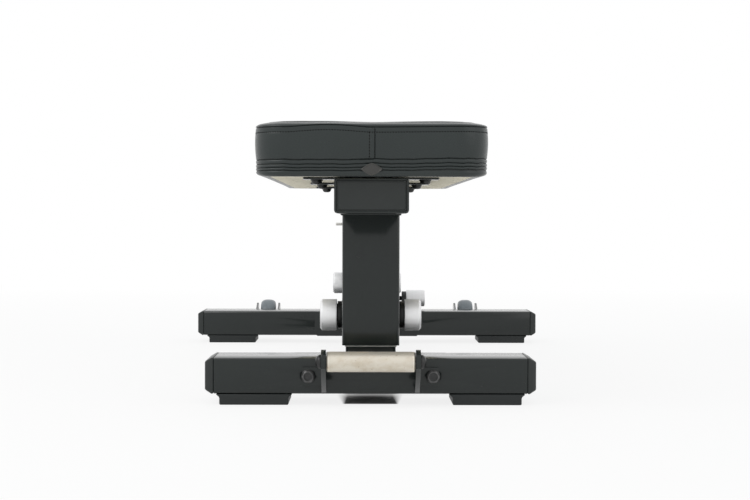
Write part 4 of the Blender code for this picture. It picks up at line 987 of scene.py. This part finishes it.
seats = []
for post in POSTS:
    for side_name, _ in SIDES:
        centre = span(f"{post}_foot_pad_{side_name}")[0]
        for _, way in SIDES:
            seats.append(((centre.x + way * FOOT_SCREW_X, centre.y, FOOT_SCREW_Z), DOWN))
pan_screw = turned(PAN_SCREW, (0, 0, 0), UP, 24, degrees=30)
fasteners("foot_pad_screws", pan_screw, seats, "base")


# ---- Welds

FRAME_BEAD = 0.0034
BARREL_BEAD = 0.0011
SLEEVE_LOOP = 0.0818
UPRIGHT_LOOP = 0.0718
POST_LOOP_CORNER = 0.0049
BEAM_LOOP = (0.0712, 0.0512, 0.0046)
BEAM_END_INSET = 0.0056
BOSS_LOOP_X = 0.0404
STUD_LOOP = (0.0168, 0.0168, 0.0083)
BRACKET_BEAD_Z = (0.0300, 0.0610)


def loop(centre, wide, high, radius, axes):
    """A closed rounded path in the plane of two axes, facing outwards from its middle."""
    points, facings = [], []
    for u, v in outline(wide, high, radius):
        point, facing = Vector(centre), Vector((0, 0, 0))
        point[axes[0]] += u
        point[axes[1]] += v
        facing[axes[0]], facing[axes[1]] = u, v
        points.append(point)
        facings.append(facing.normalized())
    return points, facings, True


def bead(start, end, facing, steps=8):
    """A straight open path."""
    start, end = Vector(start), Vector(end)
    points = [start.lerp(end, step / steps) for step in range(steps + 1)]
    return points, [Vector(facing)] * len(points), False


def weld(name, paths, width, body):
    """A rippled bead along paths, as one piece of a body."""
    values = {"Pitch": width * 0.42, "Grain_Length": width * 0.9}
    values |= {"Grain_Width": width, "Grain_Height": width}
    mesh = RIPPLES.make(paths_mesh(paths), WELD_COAT, **values)
    piece(name, shade(mesh, 60), WELD_COAT, body)


upper_paths, boss_paths, base_paths = [], [], []
for post in POSTS:
    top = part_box(post + "_sleeve")[1].z - 0.0006
    place = (0, span(post + "_liner")[0].y, top)
    upper_paths.append(loop(place, SLEEVE_LOOP, SLEEVE_LOOP, POST_LOOP_CORNER, (0, 1)))
    foot_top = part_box(post + "_upright")[0].z + 0.0004
    place = (0, span(post + "_upright")[0].y, foot_top)
    base_paths.append(loop(place, UPRIGHT_LOOP, UPRIGHT_LOOP, POST_LOOP_CORNER, (0, 1)))
    for side_name, side in SIDES:
        centre, size = span(f"{post}_{side_name}_barrel")
        wide = size.z + 0.0006
        place = (side * BOSS_LOOP_X, centre.y, centre.z)
        boss_paths.append(loop(place, wide, wide, wide / 2 - 1e-5, (1, 2)))
centre = span("clamp_stud")[0]
boss_paths.append(loop((BOSS_LOOP_X, centre.y, centre.z), *STUD_LOOP, (1, 2)))
spine_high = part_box("spine")[1]
for part in PLATES:
    centre, size = span("cross_plate_" + part)
    for _, side in SIDES:
        x, z = side * (spine_high.x - 0.0003), spine_high.z - 0.0008
        ends = [(x, centre.y + way * (size.y / 2 - 0.003), z) for _, way in SIDES]
        upper_paths.append(bead(*ends, (side, 0, -1)))
beam_low, beam_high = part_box("lower_beam")
for y in (beam_low.y + BEAM_END_INSET, beam_high.y - BEAM_END_INSET):
    base_paths.append(loop((0, y, span("front_foot")[0].z), *BEAM_LOOP, (0, 2)))
for side_name, _ in SIDES:
    low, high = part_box("wheel_bracket_" + side_name)
    for x in (low.x - 0.0004, high.x + 0.0004):
        base_paths.append(bead(*[(x, low.y + 0.0006, z) for z in BRACKET_BEAD_Z], (0, 1, 0)))
weld("frame_welds", upper_paths, FRAME_BEAD, "upper_frame")
weld("barrel_welds", boss_paths, BARREL_BEAD, "upper_frame")
weld("base_welds", base_paths, FRAME_BEAD, "base")


# ---- Cushion

PAD_CORNER = 0.045
PAD_CORNER_LEAST = 0.004
PAD_CORNER_POINTS = 14
PAD_SIDE_PULL = 0.0020
PAD_END_PULL = 0.0010
PAD_SWELL = 0.0014
PAD_CROWN = 0.0016
PAD_CENTRE_DIP = 0.0011
PAD_VALLEY_SOFT = 0.016
PAD_TOP_HEIGHT = 0.0724
PAD_SHOULDER_DEEP = 0.0175
PAD_EDGE = (0.0010, 0.0664)
HEM_RISE = 0.0021
HEM_ROWS = (
    (0.0146, 0.0176, 0), (0.0146, 0.0024, 0), (0.0136, 0.0010, 0), (0.0100, 0.0002, 0),
    (0.0070, 0.0, 0), (0.0048, 0.0005, 0), (0.0030, 0.0017, 0), (0.0020, 0.0034, 0),
    (0.0015, 0.0052, 0), (0.0017, 0.0066, 0), (0.0024, 0.0076, 0.5),
)
RECESS_ROWS = 3
RECESS_INSET = 0.0121
RECESS_TOP = 0.0200
CHANNELS = (0.0081, 0.0118, 0.0164, 0.0224)
CHANNEL_INSET = 0.0034
RIDGE_INSET = 0.0013
RIDGE_SHARES = (-0.92, -0.7, -0.35, 0, 0.35, 0.7, 0.92)
GATHER_WAVES = ((1, 205, 1), (0.7, 83, 0), (0.5, 471, 2))
GATHER_HEIGHT = 0.00022
SEAM_SLOPE = 0.0022
SEAM_END = 0.0652
TOPSTITCH_HEIGHT = 0.0586
TOP_SEAM_HEIGHT = 0.0654
ARCH_HEIGHT = 0.0032
JOIN_EDGE_X = 0.0030
JOIN_STITCH_X = -0.0030
END_LONG = 0.215
STITCH = {"Pitch": 0.0036, "Grain_Length": 0.0025, "Grain_Width": 0.0013, "Grain_Height": 0.0009}
STITCH_LIFT = 0.00015
SIM_VOXEL = 0.006
SIM_FRAMES = 20
SIM_PRESSURE = 4.0
SIM_CAP = 0.0035
SIM_SHARES = (0.5, 0.5, 0.35)
SIM_FREE_HEIGHTS = (0.0225, 0.034)
TOP_EVEN_INSETS = (0.022, 0.060)

pad_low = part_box("pad_cushion")[0]
pad_middle, pad_size = span("pad_cushion")


def step_up(values, low, high):
    """0 below low, 1 above high, smooth between them."""
    share = np.clip((values - low) / (high - low), 0, 1)
    return share * share * (3 - 2 * share)


def hump(values, middle, width):
    """1 at the middle, falling off smoothly over a width."""
    return np.exp(-(((values - middle) / width) ** 2))


def end_shares():
    """Where a short side has points: close together at its middle, where the join is."""
    places = np.concatenate([np.arange(0.0003, 0.0090, 0.0006), np.linspace(0.0105, 0.1060, 22)])
    return 0.5 + np.concatenate([-places[::-1], places]) / END_LONG


LONG_SHARES = np.linspace(0, 1, 184)[1:-1]
END_SHARES = end_shares()


def pad_outline(inset, pull):
    """Points round the cushion about its middle, drawn in between its corners."""
    half_wide, half_long = pad_size.x / 2 - inset, pad_size.y / 2 - inset
    radius = max(PAD_CORNER - inset, PAD_CORNER_LEAST)
    points = []
    for right, far, start in CORNERS:
        angles = np.radians(np.linspace(start, start + 90, PAD_CORNER_POINTS))
        centre = np.array([right * (half_wide - radius), far * (half_long - radius)])
        arc = centre + radius * np.column_stack([np.cos(angles), np.sin(angles)])
        way = np.array([-math.sin(angles[-1]), math.cos(angles[-1])])
        inward = np.array([-way[1], way[0]])
        if right * far < 0:
            shares, reach, depth = LONG_SHARES, 2 * (half_long - radius), PAD_SIDE_PULL
        else:
            shares, reach, depth = END_SHARES, 2 * (half_wide - radius), PAD_END_PULL
        bow = pull * depth * (1 - (2 * shares - 1) ** 4)
        points += [arc, arc[-1] + np.outer(reach * shares, way) + np.outer(bow, inward)]
    return np.concatenate(points)


def pad_section():
    """Rows of (inset, height, seam depth) from the board, round the side, to the top's middle."""
    rows = [*HEM_ROWS]
    for low, high in zip(CHANNELS, CHANNELS[1:]):
        rows.append((CHANNEL_INSET, low, 1))
        for share in RIDGE_SHARES:
            drop = (CHANNEL_INSET - RIDGE_INSET) * (1 - math.sqrt(1 - share**2))
            height = (low + high) / 2 + share * ((high - low) / 2)
            rows.append((RIDGE_INSET + drop, height, 0.4 * abs(share) ** 4))
    rows += [(CHANNEL_INSET, CHANNELS[-1], 1), (0.0022, 0.0229, 0.5), (0.0014, 0.0236, 0.1)]
    heights = [*np.arange(0.0248, 0.0570, 0.0016), *np.arange(0.0578, 0.0612, 0.00035)]
    heights += [*np.arange(0.0618, 0.0640, 0.0007), *np.arange(0.0642, 0.0662, 0.0003)]
    for height in heights:
        wall = 0.0013 * ((height - 0.046) / (0.020 if height > 0.046 else 0.021)) ** 2
        stitch = float(hump(height, TOPSTITCH_HEIGHT, 0.0006))
        seam = float(hump(height, TOP_SEAM_HEIGHT, 0.0005))
        rows.append((wall + 0.0004 * stitch + 0.0012 * seam, height, max(0.5 * stitch, seam)))
    edge_inset, edge_height = PAD_EDGE
    for step in range(11):
        turn = math.pi / 2 * step / 10
        inset = edge_inset + PAD_SHOULDER_DEEP * (1 - math.cos(turn))
        rows.append((inset, edge_height + (PAD_TOP_HEIGHT - edge_height) * math.sin(turn), 0))
    for gap in [0.0015, 0.002, 0.003, 0.004, *[0.005] * 24]:
        inset += gap
        rows.append((inset, PAD_TOP_HEIGHT, 0))
    return rows


def crown(x):
    """How far the cushion's top rises: two gentle crowns with a dip between them."""
    softly = np.sqrt(x**2 + PAD_VALLEY_SOFT**2) - PAD_VALLEY_SOFT
    share = np.clip(softly / (pad_size.x / 2 - PAD_VALLEY_SOFT), 0, 1)
    rise = PAD_CROWN * (1 - (2 * share - 1) ** 2)
    return rise + (PAD_CROWN - PAD_CENTRE_DIP) * np.clip(1 - 2 * share, 0, 1) ** 2


def grid_normals(grid):
    """Outward normals of a grid of points whose rows are closed rings."""
    round_way = np.roll(grid, -1, axis=1) - np.roll(grid, 1, axis=1)
    normal = np.cross(round_way, np.gradient(grid, axis=0))
    return normal / np.maximum(np.linalg.norm(normal, axis=2, keepdims=True), 1e-12)


def grid_mesh(name, grid, more):
    """A grid of points whose rows are closed rings, as a mesh with more faces added."""
    rows, count = grid.shape[:2]
    steps = [(r * count, n, (n + 1) % count) for r in range(rows - 1) for n in range(count)]
    faces = [(row + n, row + m, row + count + m, row + count + n) for row, n, m in steps]
    mesh = bpy.data.meshes.new(name)
    mesh.from_pydata(grid.reshape(-1, 3).tolist(), [], faces + more)
    return mesh


def places_of(mesh):
    return np.array([vertex.co for vertex in mesh.vertices])


def puffed_field(grid):
    """Cloth simulation of the cover, blown up on its foam: gives how far any point of it moves."""
    coarse = grid[2::3, ::4]
    rows, count = coarse.shape[:2]
    ends = [tuple(range(count))[::-1], tuple(range((rows - 1) * count, rows * count))]
    cover = placed("cover", grid_mesh("cover", coarse, ends))
    remesh = cover.modifiers.new("remesh", "REMESH")
    remesh.mode = "VOXEL"
    remesh.voxel_size = SIM_VOXEL
    bpy.context.view_layer.update()
    cover.data = evaluated(cover)
    cover.modifiers.clear()
    start = places_of(cover.data)
    heights = start[:, 2] - pad_low.z
    seam = 0.9 * hump(heights, TOP_SEAM_HEIGHT, 0.004)
    held = np.maximum(1 - step_up(heights, 0.020, 0.030), seam)
    group = cover.vertex_groups.new(name="held")
    for n, weight in enumerate(held):
        group.add([n], float(weight), "REPLACE")
    cloth = cover.modifiers.new("cloth", "CLOTH")
    cloth.settings.quality = 5
    cloth.settings.use_pressure = True
    cloth.settings.uniform_pressure_force = SIM_PRESSURE
    cloth.settings.vertex_group_mass = "held"
    cloth.settings.effector_weights.gravity = 0
    cloth.collision_settings.use_collision = False
    for tick in range(1, SIM_FRAMES + 1):
        bpy.context.scene.frame_set(tick)
    moved = places_of(evaluated(cover)) - start
    bpy.context.scene.frame_set(1)
    cover.modifiers.clear()
    faces = [tuple(face.vertices) for face in cover.data.polygons]
    bpy.data.objects.remove(cover)
    length = np.linalg.norm(moved, axis=1, keepdims=True)
    moved *= SIM_CAP * np.tanh(length / SIM_CAP) / np.maximum(length, 1e-9)
    return start, moved, faces


def move_with(grid, start, moved, faces):
    """Moves each point of a grid as the nearest face of a simulated cover moves."""
    tree = BVHTree.FromPolygons([Vector(v) for v in start], faces)
    flat = grid.reshape(-1, 3)
    shift = np.zeros_like(flat)
    for n, point in enumerate(flat):
        spot, _, index, _ = tree.find_nearest(Vector(point))
        corners = list(faces[index])
        weights = 1 / (np.linalg.norm(start[corners] - np.array(spot), axis=1) + 1e-5)
        shift[n] = (moved[corners] * weights[:, None]).sum(0) / weights.sum()
    return shift.reshape(grid.shape)


def smoothed(field, rounds):
    """Evens out a field of shifts over its neighbours on the grid."""
    for _ in range(rounds):
        field = 0.5 * field + 0.25 * (np.roll(field, 1, axis=1) + np.roll(field, -1, axis=1))
        inner = 0.5 * field[1:-1] + 0.25 * (field[:-2] + field[2:])
        field = np.concatenate([field[:1], inner, field[-1:]])
    return field


def cushion_grid():
    """The cushion's points, ring by ring, and how deep in a seam each one is."""
    grid, depth = [], []
    for inset, height, seam in pad_section():
        recessed = inset > RECESS_INSET and height < RECESS_TOP
        ring = pad_outline(inset, 0.0 if recessed else 1.0)
        rise = crown(ring[:, 0]) * (height >= PAD_TOP_HEIGHT - 1e-6)
        grid.append(np.column_stack([ring, height + rise]))
        depth.append(np.full(len(ring), float(seam)))
    grid, depth = np.array(grid), np.array(depth)
    x, y, height = grid[:, :, 0], grid[:, :, 1], grid[:, :, 2].copy()
    front = 1 - step_up(y, 0.012 - pad_size.y / 2, 0.040 - pad_size.y / 2)
    ahead = 1 - step_up(y, 0.030 - pad_size.y / 2, 0.260 - pad_size.y / 2)
    above_hem = step_up(height, 0.0060, 0.0085)
    below_top = 1 - step_up(height, SEAM_END, PAD_TOP_HEIGHT)
    # the hem hangs lowest in front, and its ridges are gathered a little
    hem = 1 - step_up(height, 0.0002, CHANNELS[0])
    grid[:, :, 2] += HEM_RISE * hem * (1 - front)
    ridged = above_hem * (1 - step_up(height, CHANNELS[-1], 0.0260))
    wave = sum(share * np.sin((x + y) * rate + shift) for share, rate, shift in GATHER_WAVES)
    gathers = GATHER_HEIGHT + GATHER_HEIGHT * step_up(np.abs(x), 0.085, 0.130)
    lift = 0.0012 * front * hump(x, 0, 0.020) * (x > -0.06)
    grid[:, :, 2] += ridged * (gathers * wave + lift)
    # the top seam arches on the left of the join, and all seams rise to the right
    left_arc = np.clip((x + 0.112) / 0.110, 0, 1)
    arch = ARCH_HEIGHT * np.sin(math.pi * left_arc) ** 1.3 * front * (x < -0.002)
    grid[:, :, 2] += arch * (step_up(height, 0.040, 0.058) * below_top)
    slope = SEAM_SLOPE * ahead * step_up(x, -0.010, 0.130)
    grid[:, :, 2] += slope * (1 - 0.45 * step_up(height, 0.024, 0.058)) * (above_hem * below_top)
    # the upright join: a folded edge, its crease and a row of stitches beside it
    band = step_up(height, 0.0226, 0.0240) * (1 - step_up(height, 0.0637, SEAM_END)) * front
    past_edge = step_up(x, JOIN_EDGE_X - 0.0002, JOIN_EDGE_X + 0.0006)
    fold = step_up(x, -0.030, -0.0045) * (1 - past_edge)
    crease = hump(x, JOIN_EDGE_X + 0.0008, 0.0007)
    stitched = hump(x, JOIN_STITCH_X, 0.0007)
    grid[:, :, 1] -= band * (0.0009 * fold - 0.0013 * crease - 0.0008 * stitched)
    # the crease and the stitch line also get a seam depth, which the leather paints as shade
    depth = np.maximum(depth, band * np.maximum(crease, 0.6 * stitched))
    grid[RECESS_ROWS:, :, 0] *= 1 + 2 * PAD_SWELL / pad_size.x
    grid += np.array([pad_middle.x, pad_middle.y, pad_low.z])
    return grid, depth


def pad_mesh(grid, depth):
    """The grid as a closed mesh that carries its seam depth."""
    rows, count = grid.shape[:2]
    last, half_end = (rows - 1) * count, len(END_SHARES) // 2
    right = [last + (count - half_end + n) % count for n in range(count // 2)]
    left = [last + (count - half_end - 1 - n) % count for n in range(count // 2)]
    top = list(zip(right, right[1:], left[1:], left))
    mesh = grid_mesh("cushion", grid, top)
    # the seam depth, stored for the leather's painted shade
    crease = mesh.attributes.new("crease", "FLOAT", "POINT")
    crease.data.foreach_set("value", depth.ravel())
    bm = bmesh.new()
    bm.from_mesh(mesh)
    bm.verts.ensure_lookup_table()
    bm.faces.new(bm.verts[:count])
    bmesh.ops.recalc_face_normals(bm, faces=bm.faces)
    bm.to_mesh(mesh)
    bm.free()
    mesh.shade_smooth()
    return mesh


def blown_up(grid):
    """The grid after the cloth simulation, with its hem held and its top kept even."""
    shift = move_with(grid, *puffed_field(grid))
    heights = grid[:, :, 2] - pad_low.z
    free = (step_up(heights, *SIM_FREE_HEIGHTS) * 0.9)[:, :, None]
    shift = smoothed(shift, 2) * free * np.array(SIM_SHARES)
    insets = np.array([inset for inset, height, _ in pad_section() if height >= PAD_TOP_HEIGHT])
    inner = step_up(insets, *TOP_EVEN_INSETS)[:, None, None]
    top = shift[-len(insets) :]
    even = np.array([0, 0, top[insets > TOP_EVEN_INSETS[1]][:, :, 2].mean()])
    shift[-len(insets) :] = top * (1 - inner) + even * inner
    return grid + shift


grid, depth = cushion_grid()
grid = blown_up(grid)
mesh = pad_mesh(grid, depth)
cushion = piece("upholstered_cushion", mesh, LEATHER, "upper_frame", ["pad_cushion"])


def stitch_path(rows, columns, closed):
    """A path just off the cushion through points of its grid."""
    normals = grid_normals(grid)[rows, columns]
    return grid[rows, columns] + normals * STITCH_LIFT, normals, closed


ring_heights = np.array([height for _, height, _ in pad_section()])
stitch_ring = int(np.argmin(np.abs(ring_heights - TOPSTITCH_HEIGHT)))
join_rows = [n for n, height in enumerate(ring_heights) if 0.0250 < height < 0.0580]
join_share = int(np.argmin(np.abs((END_SHARES - 0.5) * END_LONG - JOIN_STITCH_X)))
join_column = len(grid[0]) - len(END_SHARES) + join_share
paths = [stitch_path(stitch_ring, slice(None), True), stitch_path(join_rows, join_column, False)]
stitches = STITCHES.make(paths_mesh(paths), THREAD, **STITCH)
piece("cushion_stitches", shade(stitches, 80), THREAD, "upper_frame")


# ---- Badge: a bare diamond patch with a raised rim

BADGE_STEPS = (
    (1.0, 0.0), (1.0, 0.0011), (0.94, 0.0016), (0.86, 0.0016), (0.80, 0.0011), (0.4, 0.0012),
)
BADGE_ROUND = 1.25
BADGE_POINTS = 48


def badge_mesh():
    """A diamond patch with rounded corners, a raised rim and a flat bare middle."""
    centre, size = span("pad_badge")
    rings = [[] for _ in BADGE_STEPS]
    for n in range(BADGE_POINTS):
        angle = 2 * math.pi * n / BADGE_POINTS
        u, v = math.cos(angle), math.sin(angle)
        reach = 1 / (abs(u) ** BADGE_ROUND + abs(v) ** BADGE_ROUND) ** (1 / BADGE_ROUND)
        for ring, (scale, forward) in zip(rings, BADGE_STEPS):
            x = centre.x + reach * u * size.x / 2 * scale
            z = centre.z + reach * v * size.z / 2 * scale
            ring.append((x, centre.y + size.y / 2 - forward, z))
    return ringed(rings)


piece("bare_badge", badge_mesh(), BADGE_VINYL, "upper_frame", ["pad_badge"])


# ---- Studio: floor, world, lamps, camera

FLOOR_SIZE = 60.0
FLOOR_LIFT = 0.84
FLOOR_FADE = (0.6, 3.2)
FLOOR_TONES = ((0.91, 0.91, 0.90), (0.93, 0.93, 0.92))
ROOM_LIGHT = 0.72
ROOM_COLOUR = (0.97, 0.985, 1.0, 1.0)
WHITE = (1.0, 1.0, 1.0, 1.0)
# the painted shade under the front foot: its tone, darkness, width, place, fade and soft edges
SHADE_TONE = (0.05, 0.05, 0.05)
SHADE_HALF_WIDE = 0.0374
SHADE_HALF_REAR = 0.0425
SHADE_DARK = 0.55
SHADE_FRONT = -0.600
SHADE_FADES = -0.505
SHADE_REAR = -0.385
SHADE_SOFT = 0.0015
SHADE_SPREAD = 0.014
LAMPS = {"key_lamp": ((-2.2, -1.8, 2.6), 34), "fill_lamp": ((2.6, -2.2, 1.6), 8)}
LAMP_SIZE = 2.0
LAMP_AIM = Vector((0, -0.2, 0.2))
CAMERA_PLACE = Vector((-0.0158, -2.965, 0.260))
CAMERA_YAW = math.radians(0.52)
CAMERA_PITCH = math.radians(1.09)
CAMERA_ROLL = math.radians(0.15)
FOCAL_PIXELS = 1697
PHOTO_WIDTH = 750
SENSOR = 36.0


def studio_floor():
    """A pale floor that fades to white far away, with painted shade under the front foot, where
    the beam blocks the light.
    """
    bm = bmesh.new()
    bmesh.ops.create_grid(bm, x_segments=1, y_segments=1, size=FLOOR_SIZE / 2)
    floor = placed("studio_floor", mesh_of(bm))
    f = Finish("studio_floor", specular_ior_level=0.2)
    x, y = [f.node("SeparateXYZ", sockets={0: f.own()}, output=axis) for axis in "XY"]
    front, rear, soft = SHADE_FRONT, SHADE_REAR, SHADE_SOFT
    spread = f.ramp(y, front, rear, soft, SHADE_SPREAD)
    wide = f.ramp(y, front, rear, SHADE_HALF_WIDE, SHADE_HALF_REAR)
    across = f.ramp(f.maths("ABSOLUTE", x), wide - spread, wide + spread, 1.0, 0.0)
    # the mask of the painted shade under the front foot
    shade = across * f.ramp(y, front - soft, front + soft) * f.ramp(y, SHADE_FADES, rear, 1.0, 0.0)
    cloud = f.noise(0.8)
    # the painted shade darkens the floor's colour, and under it the floor does not glow
    tone = f.tones(FLOOR_TONES[0], (cloud, FLOOR_TONES[1]), (shade * SHADE_DARK, SHADE_TONE))
    material = f.coat(tone, 0.6 + cloud * 0.1)
    lift = f.ramp(y, *FLOOR_FADE, FLOOR_LIFT, 1.0) * (1.0 - shade)
    glow = f.node("Emission", sockets={"Color": WHITE, "Strength": 1.0})
    sockets = {0: lift * f.seen(), 1: Wire(f, f.shader.outputs[0]), 2: glow}
    f.plug(f.tree.nodes["Material Output"].inputs[0], f.node("MixShader", sockets=sockets))
    floor.data.materials.append(material)


def studio_world():
    """A white room: plain light on the object, and white for the camera."""
    world = bpy.data.worlds.new("studio")
    bpy.context.scene.world = world
    world.use_nodes = True
    room = Wiring(world.node_tree)
    light = room.tree.nodes["Background"]
    light.inputs["Color"].default_value = ROOM_COLOUR
    light.inputs["Strength"].default_value = ROOM_LIGHT
    white = room.node("Background", sockets={"Color": WHITE})
    sockets = {0: room.seen(), 1: Wire(room, light.outputs[0]), 2: white}
    room.plug(room.tree.nodes["World Output"].inputs[0], room.node("MixShader", sockets=sockets))


def softbox(name, place, power):
    """A square area lamp that looks at the bench."""
    lamp = bpy.data.lights.new(name, "AREA")
    lamp.shape = "SQUARE"
    lamp.size = LAMP_SIZE
    lamp.energy = power
    made = placed(name, lamp)
    made.location = place
    made.rotation_euler = (LAMP_AIM - Vector(place)).to_track_quat("-Z", "Y").to_euler()


def photo_camera():
    """The camera at the photograph's place and angle."""
    data = bpy.data.cameras.new("camera")
    data.sensor_width = SENSOR
    data.lens = FOCAL_PIXELS * SENSOR / PHOTO_WIDTH
    made = placed("camera", data)
    made.location = CAMERA_PLACE
    aim = Euler((math.pi / 2 - CAMERA_PITCH, 0, -CAMERA_YAW)).to_matrix()
    made.rotation_euler = (aim @ Matrix.Rotation(CAMERA_ROLL, 3, "Z")).to_euler()
    bpy.context.scene.camera = made


studio_floor()
studio_world()
for name, (place, power) in LAMPS.items():
    softbox(name, place, power)
photo_camera()
bpy.context.scene.view_settings.view_transform = "Standard"
